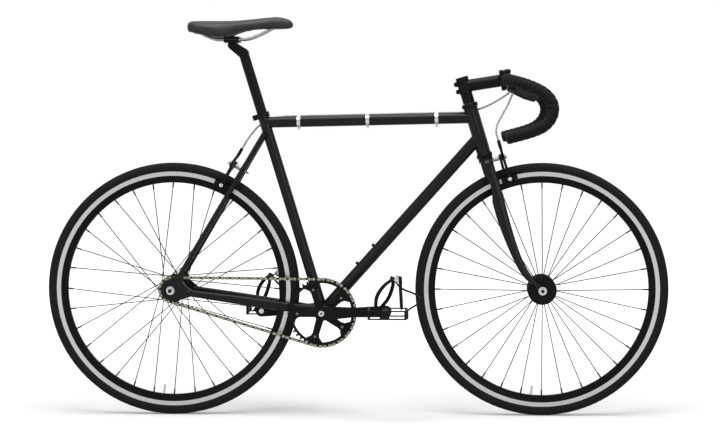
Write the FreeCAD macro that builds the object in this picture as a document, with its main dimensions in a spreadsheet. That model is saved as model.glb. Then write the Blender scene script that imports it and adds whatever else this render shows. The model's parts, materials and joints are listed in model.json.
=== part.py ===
import FreeCAD, Part
import math
import os

import Sketcher
from FreeCAD import Placement, Rotation, Vector

# Fixed gear bike. Millimetres. +X forward, +Y to the rider's left, +Z up.
# The origin is on the ground, midway between the two axles.

doc = FreeCAD.newDocument("fixed_gear_bike")

# Driving dimensions, one cell each
SIZES = {
    # clearances shared by all fits
    "seat_gap": 0.3,
    "running_gap": 0.06,
    "overrun": 40.0,
    # frame layout
    "bottom_bracket_drop": 60.0,
    "front_centre": 582.0,
    "head_angle": 73.5,
    "seat_angle": 73.0,
    "crown_rise": 12.0,
    "fork_rake": 45.0,
    # frame tubes
    "head_tube_length": 126.0,
    "head_tube_radius": 18.5,
    "head_tube_wall": 1.6,
    "seat_tube_length": 552.0,
    "seat_tube_radius": 14.3,
    "top_tube_radius": 14.6,
    "top_tube_seat_height": 526.0,
    "top_tube_head_drop": 28.0,
    "down_tube_radius": 15.9,
    "down_tube_head_rise": 45.0,
    "tube_wall": 1.3,
    "shell_radius": 20.0,
    "shell_half_width": 34.0,
    "shell_bore_radius": 17.0,
    # stays and track ends
    "chainstay_root_side": 18.0,
    "chainstay_root_half_width": 8.0,
    "chainstay_half_height": 11.5,
    "chainstay_tip_half_width": 6.0,
    "chainstay_tip_half_height": 8.0,
    "chainstay_tip_reach": 44.0,
    "seatstay_top_height": 498.0,
    "seatstay_top_setback": 8.0,
    "seatstay_top_side": 12.0,
    "seatstay_top_radius": 7.5,
    "seatstay_tip_radius": 6.0,
    "seatstay_tip_reach": 32.0,
    "bridge_radius": 6.0,
    "track_end_thickness": 6.0,
    "track_end_radius": 27.0,
    "track_end_arm_radius": 9.0,
    "track_slot_length": 34.0,
    "axle_in_slot": 10.0,
    # small frame fittings
    "boss_radius": 4.2,
    "boss_height": 6.0,
    "boss_depth": 11.0,
    "boss_thread_radius": 2.5,
    "boss_first": 157.0,
    "boss_spacing": 64.0,
    "collar_wall": 4.0,
    "collar_height": 14.0,
    "collar_slit": 2.4,
    "collar_ear": 9.0,
    "collar_bolt_radius": 2.6,
    "collar_bolt_head": 4.6,
    "clip_width": 9.0,
    "clip_wall": 1.0,
    "clip_bolt_radius": 3.2,
    "clip_bolt_length": 7.0,
    "clip_rear": 98.0,
    "clip_step": 183.0,
    # headset and bottom bracket bearings
    "cup_height": 12.0,
    "cup_radius": 21.5,
    "cup_skirt": 10.0,
    "cup_edge": 2.0,
    "bracket_cup_radius": 18.8,
    "bracket_cup_flange": 4.0,
    "bracket_cup_depth": 18.0,
    # steerer, stem and bar
    "steerer_radius": 12.7,
    "steerer_wall": 1.6,
    "spacer_radius": 15.8,
    "spacer_height": 9.0,
    "spacer_count": 3,
    "cap_height": 5.0,
    "stem_height": 40.0,
    "stem_wall": 4.2,
    "stem_length": 110.0,
    "stem_rise": 17.0,
    "stem_tube_radius": 16.2,
    "stem_clamp_half_width": 21.0,
    "stem_clamp_wall": 5.0,
    "stem_slit": 2.0,
    "stem_bolt_radius": 2.5,
    "stem_bolt_head": 4.6,
    "stem_boss_radius": 6.5,
    "bar_radius": 11.9,
    "bar_wall": 1.8,
    "bar_bulge_radius": 15.9,
    "bar_bulge_half_width": 27.0,
    "bar_reach": 118.0,
    "bar_drop": 152.0,
    "bar_half_width": 200.0,
    "tape_thickness": 2.0,
    "tape_ridge": 1.1,
    "tape_start": 84.0,
    "tape_wraps": 24,
    "plug_length": 18.0,
    "plug_flange": 3.0,
    # fork
    "crown_half_depth": 16.5,
    "crown_half_thickness": 9.5,
    "crown_side": 31.0,
    "crown_foot": 30.0,
    "blade_tip_radius": 6.0,
    "blade_tip_rise": 18.0,
    "fork_end_thickness": 5.0,
    "fork_end_radius": 11.0,
    # brakes
    "brake_pivot_radius": 366.0,
    "front_brake_stand_off": 35.0,
    "rear_brake_stand_off": 24.0,
    "brake_arm_thickness": 7.0,
    "brake_arm_radius": 7.0,
    "brake_boss_radius": 10.0,
    "brake_bolt_radius": 3.0,
    "brake_nut_radius": 6.0,
    "brake_shoulder_side": 27.0,
    "brake_shoulder_drop": 7.0,
    "brake_elbow_side": 34.0,
    "brake_elbow_drop": 30.0,
    "brake_foot_side": 27.5,
    "brake_tail_side": 30.0,
    "brake_tail_rise": 22.0,
    "brake_tail_split": 20.0,
    "barrel_radius": 4.5,
    "barrel_length": 18.0,
    "pad_gap": 2.8,
    "pad_half_length": 22.0,
    "pad_half_height": 5.5,
    "pad_bolt_radius": 4.5,
    "pad_bolt_head": 5.0,
    # brake levers and cables
    "lever_clamp_side": 52.0,
    "lever_clamp_width": 14.0,
    "lever_clamp_wall": 4.5,
    "lever_pivot_forward": 15.0,
    "lever_pivot_side": 60.0,
    "lever_pivot_drop": 24.0,
    "lever_tip_forward": 84.0,
    "lever_tip_side": 143.0,
    "lever_tip_drop": 50.0,
    "lever_tongue": 6.0,
    "lever_cheek": 3.0,
    "lever_root_radius": 7.0,
    "lever_blade_radius": 5.0,
    "lever_pin_radius": 2.5,
    "cable_stop_forward": 23.0,
    "cable_stop_drop": 24.0,
    "cable_stop_radius": 5.0,
    "cable_stop_width": 5.0,
    "cable_span": 100.0,
    "cable_radius": 2.5,
    "cable_lead_in": 24.0,
    # wheels
    "tyre_radius": 336.0,
    "tyre_section_radius": 13.8,
    "tyre_wall": 2.4,
    "inner_tube_wall": 1.0,
    "valve_radius": 3.0,
    "valve_bore_radius": 1.2,
    "valve_reach": 24.0,
    "valve_place": 23,
    "rim_edge_radius": 312.4,
    "rim_half_width": 10.5,
    "rim_flange_wall": 1.7,
    "rim_well_depth": 6.0,
    "rim_depth": 29.4,
    "brake_track_height": 11.3,
    "rim_nose_half_width": 4.5,
    "rim_wall": 1.6,
    "spoke_count": 32,
    "spoke_crosses": 3,
    "spoke_radius": 1.15,
    "nipple_radius": 2.0,
    "nipple_length": 14.0,
    "spoke_inset": 5.5,
    "flange_thickness": 3.4,
    "hub_shell_radius": 15.0,
    "hub_end_radius": 14.5,
    "bearing_radius": 12.0,
    "bearing_width": 8.0,
    "front_flange_radius": 38.5,
    "front_flange_side": 33.0,
    "front_hub_half_width": 41.0,
    "front_axle_radius": 4.5,
    "front_end_side": 50.0,
    "rear_flange_radius": 36.0,
    "rear_flange_side": 31.0,
    "rear_hub_half_width": 48.0,
    "rear_axle_radius": 5.0,
    "rear_end_side": 60.0,
    "locknut_radius": 8.0,
    "nut_flange_radius": 11.0,
    "nut_flange_thickness": 3.0,
    "nut_radius": 8.5,
    "nut_height": 9.0,
    "axle_stick_out": 3.0,
    # chain and sprockets
    "chain_pitch": 12.7,
    "chain_links": 94,
    "chainring_teeth": 44,
    "cog_teeth": 16,
    "chain_line": 42.0,
    "roller_radius": 3.85,
    "roller_width": 3.5,
    "plate_thickness": 1.05,
    "plate_radius": 4.2,
    "plate_waist": 2.9,
    "plate_gap": 0.12,
    "pin_radius": 1.8,
    "pin_overhang": 0.5,
    "sprocket_thickness": 2.9,
    "tooth_clearance": 0.25,
    "tooth_height": 3.0,
    "tooth_tip_opening": 6.4,
    "cog_seat_radius": 17.0,
    "lockring_radius": 19.0,
    # crankset
    "crank_length": 170.0,
    "crank_angle": 2.0,
    "crank_side": 52.0,
    "crank_thickness": 13.0,
    "crank_boss_radius": 19.0,
    "crank_waist_radius": 12.5,
    "crank_eye_radius": 15.0,
    "spindle_radius": 8.5,
    "crank_bolt_radius": 7.5,
    "crank_bolt_height": 2.5,
    "bolt_circle_radius": 65.0,
    "ring_arm_count": 5,
    "ring_inner_radius": 78.5,
    "ring_lobe_radius": 11.0,
    "ring_lobe_foot": 27.0,
    "spider_root_radius": 11.0,
    "spider_tip_radius": 8.5,
    "spider_thickness": 6.0,
    "ring_bolt_radius": 2.6,
    "ring_bolt_head_radius": 3.4,
    "ring_bolt_head": 1.8,
    # pedals
    "pedal_side": 72.0,
    "pedal_width": 94.0,
    "pedal_rear": 44.0,
    "pedal_front": 58.0,
    "pedal_half_height": 12.0,
    "pedal_wall": 3.5,
    "pedal_barrel_radius": 11.0,
    "pedal_cage_side": 5.0,
    "pedal_window_half_height": 8.6,
    "pedal_spindle_radius": 6.5,
    "pedal_spindle_end": 16.0,
    "clip_strip_half_width": 8.0,
    "clip_strip_thickness": 2.0,
    "clip_reach": 92.0,
    "clip_rise": 87.0,
    "strap_half_width": 5.0,
    "strap_thickness": 2.0,
    "strap_height": 100.0,
    "strap_lean": 23.6,
    "strap_setback": 20.0,
    "strap_sink": 3.5,
    "strap_side_gap": 4.0,
    "strap_top_half_width": 26.0,
    "strap_tail_length": 70.0,
    "keeper_wall": 1.6,
    "buckle_length": 20.0,
    "buckle_wall": 2.2,
    # saddle and seatpost
    "seatpost_radius": 13.6,
    "seatpost_wall": 2.2,
    "seatpost_insertion": 110.0,
    "seatpost_rise": 165.0,
    "saddle_clamp_rise": 36.33,
    "saddle_setback": 19.0,
    "post_head_half_width": 14.0,
    "post_head_radius": 11.0,
    "rail_radius": 3.5,
    "rail_side": 22.0,
    "cradle_half_length": 20.0,
    "cradle_half_width": 28.0,
    "cradle_thickness": 8.0,
    "cradle_bolt_radius": 3.5,
    "cradle_bolt_head": 6.0,
    "saddle_length": 280.0,
    "saddle_tail": 116.0,
    "saddle_half_width": 74.0,
    "saddle_height": 60.0,
}

sheet = doc.addObject("Spreadsheet::Sheet", "sizes")
for row, (alias, value) in enumerate(SIZES.items(), start=1):
    sheet.set(f"A{row}", alias)
    sheet.set(f"B{row}", str(value))
    sheet.setAlias(f"B{row}", alias)
doc.recompute()


class Cells:
    """The sheet's cells as plain numbers, read by alias."""

    def __getattr__(self, alias):
        return float(getattr(sheet, alias))


d = Cells()

FORWARD = Vector(1, 0, 0)
LEFT = Vector(0, 1, 0)
RIGHT = Vector(0, -1, 0)
UP = Vector(0, 0, 1)
SIDES = {"right": RIGHT, "left": LEFT}


def unit(vector):
    """The same direction, one long."""
    return Vector(vector) / vector.Length


def in_side_view(degrees):
    """Direction at an angle from forward, turning up, seen from the right."""
    angle = math.radians(degrees)
    return FORWARD * math.cos(angle) + UP * math.sin(angle)


class Plane:
    """A flat place to draw on: an origin, two directions in it and the direction out of it."""

    def __init__(self, origin, across, up):
        self.origin = origin
        self.across = unit(across)
        self.up = unit(up)
        self.out = self.across.cross(self.up)

    def at(self, across, up, out=0):
        return self.origin + self.across * across + self.up * up + self.out * out


# Chain length sets how far back the rear axle sits in the track ends


def pitch_radius(teeth):
    """Radius of the circle that the chain's rollers lie on."""
    return d.chain_pitch / (2 * math.sin(math.pi / teeth))


RING_PITCH_RADIUS = pitch_radius(d.chainring_teeth)
COG_PITCH_RADIUS = pitch_radius(d.cog_teeth)


def run_lean(centres):
    """Angle of each straight chain run to the line of centres."""
    return math.asin((RING_PITCH_RADIUS - COG_PITCH_RADIUS) / centres)


def pitches_round(centres):
    """Pitches on one straight run, on the cog and on the chainring at a centre distance."""
    lean = run_lean(centres)
    run = centres * math.cos(lean) / d.chain_pitch
    on_cog = d.cog_teeth * (math.pi - 2 * lean) / (2 * math.pi)
    on_ring = d.chainring_teeth * (math.pi + 2 * lean) / (2 * math.pi)
    return run, on_cog, on_ring


def chain_centres():
    """Centre distance at which the chain's whole number of links is just tight."""
    centres = (d.chain_links - (d.chainring_teeth + d.cog_teeth) / 2) * d.chain_pitch / 2
    for _ in range(30):
        run, on_cog, on_ring = pitches_round(centres)
        centres += (d.chain_links - 2 * run - on_cog - on_ring) * d.chain_pitch / 2
    return centres


# Main points and directions

AXLE_HEIGHT = d.tyre_radius
CHAIN_CENTRES = chain_centres()
REAR_CENTRE = math.sqrt(CHAIN_CENTRES**2 - d.bottom_bracket_drop**2)
BRACKET_X = (REAR_CENTRE - d.front_centre) / 2
BRACKET = Vector(BRACKET_X, 0, AXLE_HEIGHT - d.bottom_bracket_drop)
REAR_AXLE = Vector(BRACKET_X - REAR_CENTRE, 0, AXLE_HEIGHT)
FRONT_AXLE = Vector(BRACKET_X + d.front_centre, 0, AXLE_HEIGHT)

STEER_UP = in_side_view(180 - d.head_angle)
STEER_FORWARD = in_side_view(90 - d.head_angle)
STEER_FOOT = FRONT_AXLE - STEER_FORWARD * d.fork_rake
SEAT_UP = in_side_view(180 - d.seat_angle)
SEAT_BACK = in_side_view(270 - d.seat_angle)


def on_steerer(height):
    """Point on the steering axis at a height along it above the axle."""
    return STEER_FOOT + STEER_UP * height


def on_seat_tube(height):
    """Point on the seat tube's axis at a height along it above the bottom bracket."""
    return BRACKET + SEAT_UP * height


CROWN_TOP = d.brake_pivot_radius + d.crown_rise
HEAD_BOTTOM = CROWN_TOP + d.cup_height
HEAD_TOP = HEAD_BOTTOM + d.head_tube_length
SPACER_BOTTOM = HEAD_TOP + d.cup_height
STEM_BOTTOM = SPACER_BOTTOM + d.spacer_count * d.spacer_height
STEM_TOP = STEM_BOTTOM + d.stem_height
STEM_MIDDLE = on_steerer(STEM_BOTTOM + d.stem_height / 2)
BAR_CLAMP = STEM_MIDDLE + FORWARD * math.sqrt(d.stem_length**2 - d.stem_rise**2) + UP * d.stem_rise

SEATSTAY_TOP = on_seat_tube(d.seatstay_top_height) + SEAT_BACK * d.seatstay_top_setback
STAY_UP = unit(SEATSTAY_TOP - REAR_AXLE)
CHAIN_BACK = unit(REAR_AXLE - BRACKET)
PLATE_MIDDLE_SIDE = d.rear_end_side + d.track_end_thickness / 2

POST_TOP = on_seat_tube(d.seat_tube_length + d.seatpost_rise)
SADDLE_CLAMP = POST_TOP + SEAT_UP * (d.saddle_clamp_rise / SEAT_UP.z) - FORWARD * d.saddle_setback

FRONT_BRAKE = Plane(STEER_FOOT, LEFT, STEER_UP)
REAR_BRAKE = Plane(REAR_AXLE, RIGHT, STAY_UP)

# Building blocks

nodes = []


def feature(label, *solids):
    """A sub-part made of one solid or of several separate ones."""
    obj = doc.addObject("Part::Feature", label)
    obj.Shape = solids[0] if len(solids) == 1 else Part.makeCompound(list(solids))
    nodes.append(obj)
    return obj


def group(label, *objects):
    """A sub-part that gathers several objects as separate solids."""
    obj = doc.addObject("Part::Compound", label)
    obj.Links = list(objects)
    nodes.append(obj)
    return obj


def bind(obj, name, value):
    """Set a property from a cell expression or a worked-out number."""
    if isinstance(value, str):
        obj.setExpression(name, value)
    else:
        setattr(obj, name, value)


def cylinder(name, radius, length, base, direction):
    """A cylinder object standing on a point."""
    obj = doc.addObject("Part::Cylinder", name)
    bind(obj, "Radius", radius)
    bind(obj, "Height", length)
    obj.Placement = Placement(base, Rotation(UP, direction))
    return obj


def cut(name, base, *tools):
    """One object less others, as a chain of cuts."""
    for index, tool in enumerate(tools):
        last = index == len(tools) - 1
        piece = doc.addObject("Part::Cut", name if last else f"{name}_step")
        piece.Base = base
        piece.Tool = tool
        base = piece
    return base


def rod(radius, start, end):
    """A round solid between two points."""
    return Part.makeCylinder(radius, (end - start).Length, start, end - start)


def ring(outer, inner, start, end):
    """A round solid with a bore between two points."""
    return rod(outer, start, end).cut(rod(inner, start, end))


def block(plane, across, up, out):
    """A box between pairs of coordinates in a plane and out of it."""
    corners = [
        plane.at(across[0], up[0], out[0]),
        plane.at(across[1], up[0], out[0]),
        plane.at(across[1], up[1], out[0]),
        plane.at(across[0], up[1], out[0]),
    ]
    face = Part.Face(Part.makePolygon(corners + corners[:1]))
    return face.extrude(plane.out * (out[1] - out[0]))


def taper(plane, start, start_radius, end, end_radius, out):
    """A plate drawn round two circles and their outer tangents."""
    length = math.hypot(end[0] - start[0], end[1] - start[1])
    heading = math.atan2(end[1] - start[1], end[0] - start[0])
    spread = math.acos((start_radius - end_radius) / length)

    def rim(centre, radius, angle):
        return plane.at(
            centre[0] + radius * math.cos(heading + angle),
            centre[1] + radius * math.sin(heading + angle),
            out[0],
        )

    edges = [
        Part.LineSegment(rim(start, start_radius, spread), rim(end, end_radius, spread)),
        Part.Arc(rim(end, end_radius, spread), rim(end, end_radius, 0), rim(end, end_radius, -spread)),
        Part.LineSegment(rim(end, end_radius, -spread), rim(start, start_radius, -spread)),
        Part.Arc(
            rim(start, start_radius, -spread),
            rim(start, start_radius, math.pi),
            rim(start, start_radius, spread),
        ),
    ]
    face = Part.Face(Part.Wire([edge.toShape() for edge in edges]))
    return face.extrude(plane.out * (out[1] - out[0]))


def chain_of_tapers(plane, points, radii, out):
    """Tapered plates end to end, joined into one solid."""
    plates = [
        taper(plane, points[i], radii[i], points[i + 1], radii[i + 1], out)
        for i in range(len(points) - 1)
    ]
    return join(*plates)


def join(*solids):
    """Several overlapping solids as one."""
    whole = solids[0]
    if len(solids) > 1:
        whole = whole.fuse(list(solids[1:])).removeSplitter()
    if len(whole.Solids) != 1:
        raise ValueError("joined solids must touch")
    return whole.Solids[0]


def lathe(plane, profile):
    """A turned solid: (along, radius) corners spun about the plane's out direction."""
    corners = [plane.at(radius, 0, along) for along, radius in profile]
    face = Part.Face(Part.makePolygon(corners + corners[:1]))
    return face.revolve(plane.origin, plane.out, 360)


ARC_SHARE = 0.45


def rounded_path(points, share=ARC_SHARE):
    """Straight runs through the points, joined by tangent arcs as large as the runs allow."""
    edges = []
    start = points[0]
    radii = []
    for before, corner, after in zip(points, points[1:], points[2:]):
        back = unit(before - corner)
        ahead = unit(after - corner)
        trim = share * min((before - corner).Length, (after - corner).Length)
        half_turn = (math.pi - back.getAngle(ahead)) / 2
        radius = trim / math.tan(half_turn)
        radii.append(radius)
        inward = unit(back + ahead)
        enter = corner + back * trim
        leave = corner + ahead * trim
        middle = corner + inward * (radius / math.cos(half_turn) - radius)
        edges.append(Part.LineSegment(start, enter).toShape())
        edges.append(Part.Arc(enter, middle, leave).toShape())
        start = leave
    edges.append(Part.LineSegment(start, points[-1]).toShape())
    path = Part.Wire(edges)
    return path, radii


def pipe(path, radius):
    """A round solid along a path."""
    edge = path.OrderedEdges[0]
    start = edge.valueAt(edge.FirstParameter)
    profile = Part.Wire([Part.makeCircle(radius, start, edge.tangentAt(edge.FirstParameter))])
    solid = path.makePipeShell([profile], True, False)
    expected = math.pi * radius**2 * path.Length
    if abs(solid.Volume - expected) > expected / 100:
        raise ValueError("a pipe's volume differs from its section times its length")
    return solid


def cable(name, points):
    """A brake cable's housing along its route."""
    path, radii = rounded_path(points)
    print(name, "length", round(path.Length), "bend radii", [round(radius) for radius in radii])
    return pipe(path, d.cable_radius)


def oval(centre, across, up, half_across, half_up):
    """A closed oval wire; the longer half is the one given second."""
    shape = Part.Ellipse(Vector(), max(half_up, half_across), min(half_up, half_across)).toShape()
    shape.Placement = Placement(centre, Rotation(up, -across, across.cross(up), "ZXY"))
    return Part.Wire([shape])


def mirrored(solid):
    """The same solid on the other side of the bike."""
    return solid.mirror(Vector(), LEFT)


# Sketches whose corners and radii follow the sheet


def origin_plane(body, role):
    return next(item for item in body.Origin.OriginFeatures if item.Role == role)


def new_sketch(body, name, role):
    sketch = body.newObject("Sketcher::SketchObject", name)
    sketch.AttachmentSupport = [(origin_plane(body, role), "")]
    sketch.MapMode = "FlatFace"
    return sketch


def pin_point(sketch, index, position, name, across, up):
    """Hold one sketch point at two cell expressions."""
    for kind, label, expression in (("DistanceX", "x", across), ("DistanceY", "y", up)):
        value = float(sketch.evalExpression(expression))
        constraint = sketch.addConstraint(Sketcher.Constraint(kind, -1, 1, index, position, value))
        sketch.renameConstraint(constraint, f"{label}_{name}")
        sketch.setExpression(f"Constraints.{label}_{name}", expression)


def polygon_sketch(body, name, role, corners):
    """A closed outline whose corners are pairs of cell expressions."""
    sketch = new_sketch(body, name, role)
    places = [
        Vector(float(sketch.evalExpression(across)), float(sketch.evalExpression(up)), 0)
        for across, up in corners
    ]
    count = len(corners)
    for index in range(count):
        sketch.addGeometry(Part.LineSegment(places[index], places[(index + 1) % count]), False)
    for index in range(count):
        sketch.addConstraint(Sketcher.Constraint("Coincident", index, 2, (index + 1) % count, 1))
    for index, (across, up) in enumerate(corners):
        pin_point(sketch, index, 1, f"corner_{index}", across, up)
    return sketch


def circle_sketch(body, name, role, across, up, radius):
    """A circle whose centre and radius are cell expressions."""
    sketch = new_sketch(body, name, role)
    centre = Vector(float(sketch.evalExpression(across)), float(sketch.evalExpression(up)), 0)
    size = float(sketch.evalExpression(radius))
    sketch.addGeometry(Part.Circle(centre, UP, size), False)
    pin_point(sketch, 0, 3, "centre", across, up)
    constraint = sketch.addConstraint(Sketcher.Constraint("Radius", 0, size))
    sketch.renameConstraint(constraint, "radius")
    sketch.setExpression("Constraints.radius", radius)
    return sketch


def spun(body, kind, name, sketch):
    """A full turn of a sketch about its own upright axis, added or cut away."""
    step = body.newObject(kind, name)
    step.Profile = sketch
    step.ReferenceAxis = (sketch, ["V_Axis"])
    step.Angle = 360
    return step


def padded(body, name, sketch, thickness):
    """A sketch raised to both sides of its plane."""
    step = body.newObject("PartDesign::Pad", name)
    step.Profile = sketch
    step.setExpression("Length", thickness)
    step.SideType = "Symmetric"
    return step


def through(body, name, sketch):
    """A sketch cut right through, to both sides of its plane."""
    step = body.newObject("PartDesign::Pocket", name)
    step.Profile = sketch
    step.Type = "ThroughAll"
    step.SideType = "Symmetric"
    return step


def around(body, name, step, sketch, count):
    """A step repeated round the sketch's origin."""
    pattern = body.newObject("PartDesign::PolarPattern", name)
    pattern.Originals = [step]
    pattern.Axis = (sketch, ["N_Axis"])
    pattern.Angle = 360
    pattern.setExpression("Occurrences", count)
    body.Tip = pattern
    return pattern


# Main frame tubes

TOP_TUBE_REAR = on_seat_tube(d.top_tube_seat_height)
TOP_TUBE_FRONT = on_steerer(HEAD_TOP - d.top_tube_head_drop)
DOWN_TUBE_TOP = on_steerer(HEAD_BOTTOM + d.down_tube_head_rise)
DOWN_TUBE_UP = unit(DOWN_TUBE_TOP - BRACKET)
TOP_TUBE_BACK = unit(TOP_TUBE_REAR - TOP_TUBE_FRONT)
TOP_TUBE_OVER = unit(UP - TOP_TUBE_BACK * UP.dot(TOP_TUBE_BACK))


def tube(name, radius, wall, start, end):
    """The outside and the bore of a straight tube between two points."""
    length = (end - start).Length
    outside = cylinder(f"{name}_outside", f"sizes.{radius}", length, start, end - start)
    bore = cylinder(f"{name}_bore", f"sizes.{radius} - sizes.{wall}", length, start, end - start)
    return outside, bore


def make_main_tubes():
    head_outside, head_bore = tube(
        "head", "head_tube_radius", "head_tube_wall", on_steerer(HEAD_BOTTOM), on_steerer(HEAD_TOP)
    )
    seat_outside = cylinder("seat_outside", "sizes.seat_tube_radius", "sizes.seat_tube_length", BRACKET, SEAT_UP)
    seat_bore = cylinder(
        "seat_bore",
        "sizes.seatpost_radius + sizes.running_gap",
        "sizes.seat_tube_length",
        BRACKET,
        SEAT_UP,
    )
    shell_start = BRACKET + RIGHT * d.shell_half_width
    shell_outside = cylinder(
        "shell_outside", "sizes.shell_radius", "2 * sizes.shell_half_width", shell_start, LEFT
    )
    shell_bore = cylinder(
        "shell_bore", "sizes.shell_bore_radius", "2 * sizes.shell_half_width", shell_start, LEFT
    )
    top_outside, top_bore = tube("top", "top_tube_radius", "tube_wall", TOP_TUBE_REAR, TOP_TUBE_FRONT)
    down_outside, down_bore = tube("down", "down_tube_radius", "tube_wall", BRACKET, DOWN_TUBE_TOP)

    boss_out = unit(UP - DOWN_TUBE_UP * UP.dot(DOWN_TUBE_UP))
    boss_length = "sizes.boss_depth + sizes.boss_height"
    bosses = []
    seats = []
    for index, name in enumerate(("lower_boss", "upper_boss")):
        middle = BRACKET + DOWN_TUBE_UP * (d.boss_first + index * d.boss_spacing)
        foot = middle + boss_out * (d.down_tube_radius - d.boss_depth)
        seats.append(
            cylinder(f"{name}_seat", "sizes.boss_radius", boss_length, foot, boss_out)
        )
        thread = cylinder(f"{name}_thread", "sizes.boss_thread_radius", boss_length, foot, boss_out)
        bosses.append(cut(name, seats[-1], thread))

    nodes.append(cut("head_tube", head_outside, head_bore))
    nodes.append(cut("seat_tube", seat_outside, seat_bore, shell_outside))
    nodes.append(cut("bottom_bracket_shell", shell_outside, shell_bore))
    nodes.append(cut("top_tube", top_outside, top_bore, seat_outside, head_outside))
    tube_alone = cut(
        "down_tube_alone", down_outside, down_bore, shell_outside, head_outside, seat_outside, *seats
    )
    group("down_tube", tube_alone, *bosses)


# Rear triangle


def track_end(side):
    """Plate that holds the rear axle in a slot open to the rear."""
    plane = Plane(REAR_AXLE, FORWARD, UP)
    inner = d.rear_end_side * side.dot(plane.out)
    outer = (d.rear_end_side + d.track_end_thickness) * side.dot(plane.out)
    out = (inner, outer)
    stay_back = d.chainstay_tip_reach + d.chainstay_tip_half_height
    chain_tip = (-CHAIN_BACK.x * stay_back, -CHAIN_BACK.z * stay_back)
    seat_reach = d.seatstay_tip_reach + d.seatstay_tip_radius
    seat_tip = (STAY_UP.x * seat_reach, STAY_UP.z * seat_reach)
    heel = (d.axle_in_slot - d.track_slot_length + d.track_end_radius, 0)
    toe = (d.track_end_radius / 2, 0)
    plate = join(
        taper(plane, heel, d.track_end_radius, toe, d.track_end_radius + d.seat_gap, out),
        taper(plane, toe, d.track_end_radius, chain_tip, d.track_end_arm_radius, out),
        taper(plane, toe, d.track_end_radius, seat_tip, d.track_end_arm_radius, out),
    )
    slot_radius = d.rear_axle_radius + d.running_gap
    slot_end = (-d.track_slot_length - d.overrun, 0)
    slot = taper(plane, (0, 0), slot_radius, slot_end, slot_radius - d.running_gap, out)
    return plate.cut(slot)


def make_rear_triangle():
    plates = {name: track_end(side) for name, side in SIDES.items()}
    shell = rod(d.shell_radius, BRACKET + RIGHT * d.shell_half_width, BRACKET + LEFT * d.shell_half_width)
    seat_tube = rod(d.seat_tube_radius, BRACKET, on_seat_tube(d.seat_tube_length))
    chainstays = []
    seatstays = []
    stay_over = unit(UP - CHAIN_BACK * UP.dot(CHAIN_BACK))
    for name, side in SIDES.items():
        root = BRACKET + side * d.chainstay_root_side
        tip = REAR_AXLE - CHAIN_BACK * d.chainstay_tip_reach + side * PLATE_MIDDLE_SIDE
        middle = (root + tip) / 2
        middle_half_width = (d.chainstay_root_half_width + d.chainstay_tip_half_width) / 2
        ovals = [
            oval(root, side, stay_over, d.chainstay_root_half_width, d.chainstay_half_height),
            oval(middle, side, stay_over, middle_half_width, d.chainstay_half_height),
            oval(tip, side, stay_over, d.chainstay_tip_half_width, d.chainstay_tip_half_height),
        ]
        chainstay = Part.makeLoft(ovals, True, False)
        chainstays.append(chainstay.cut(shell).cut(plates[name]))

        top = SEATSTAY_TOP + side * d.seatstay_top_side
        foot = REAR_AXLE + STAY_UP * d.seatstay_tip_reach + side * PLATE_MIDDLE_SIDE
        seatstay = Part.makeCone(
            d.seatstay_top_radius, d.seatstay_tip_radius, (foot - top).Length, top, foot - top
        )
        seatstays.append(seatstay.cut(seat_tube).cut(plates[name]))

    chain_bridge_at = REAR_AXLE - CHAIN_BACK * d.brake_pivot_radius
    chain_bridge = rod(
        d.bridge_radius,
        chain_bridge_at + RIGHT * d.shell_half_width,
        chain_bridge_at + LEFT * d.shell_half_width,
    )
    chain_bridge = middle_solid(chain_bridge.cut(chainstays))
    brake_bridge_at = REAR_BRAKE.at(0, d.brake_pivot_radius)
    brake_bridge = rod(
        d.bridge_radius,
        brake_bridge_at + RIGHT * d.shell_half_width,
        brake_bridge_at + LEFT * d.shell_half_width,
    )
    bolt_hole = rod(
        d.brake_bolt_radius + d.running_gap,
        REAR_BRAKE.at(0, d.brake_pivot_radius, -d.overrun),
        REAR_BRAKE.at(0, d.brake_pivot_radius, d.overrun),
    )
    brake_bridge = middle_solid(brake_bridge.cut(seatstays)).cut(bolt_hole)
    feature("chainstays", *chainstays, chain_bridge)
    feature("seatstays", *seatstays, brake_bridge)
    feature("track_ends", *plates.values())


def middle_solid(shape):
    """The piece of a cut bar that lies between the stays."""
    return min(shape.Solids, key=lambda solid: abs(solid.CenterOfMass.y))


# Headset and bottom bracket cups


def make_bearing_cups():
    running_radius = d.steerer_radius + d.running_gap
    skirt_radius = d.head_tube_radius - d.head_tube_wall
    solids = []
    for face, inward in ((HEAD_BOTTOM, 1), (HEAD_TOP, -1)):
        plane = Plane(on_steerer(face), LEFT.cross(STEER_UP * inward), LEFT)
        solids.append(
            lathe(
                plane,
                [
                    (d.cup_skirt, running_radius),
                    (d.cup_skirt, skirt_radius),
                    (0, skirt_radius),
                    (0, d.cup_radius - d.cup_edge),
                    (-d.cup_edge, d.cup_radius),
                    (d.seat_gap + d.cup_edge - d.cup_height, d.cup_radius),
                    (d.seat_gap - d.cup_height, d.cup_radius - d.cup_edge),
                    (d.seat_gap - d.cup_height, running_radius),
                ],
            )
        )
    spindle_hole = d.spindle_radius + d.running_gap
    for side in SIDES.values():
        plane = Plane(BRACKET + side * d.shell_half_width, UP.cross(side), UP)
        plane.out = side
        solids.append(
            lathe(
                plane,
                [
                    (-d.bracket_cup_depth, spindle_hole),
                    (-d.bracket_cup_depth, d.shell_bore_radius),
                    (0, d.shell_bore_radius),
                    (0, d.bracket_cup_radius),
                    (d.bracket_cup_flange, d.bracket_cup_radius),
                    (d.bracket_cup_flange, spindle_hole),
                ],
            )
        )
    feature("bearing_cups", *solids)


# Seat collar and cable clips


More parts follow.
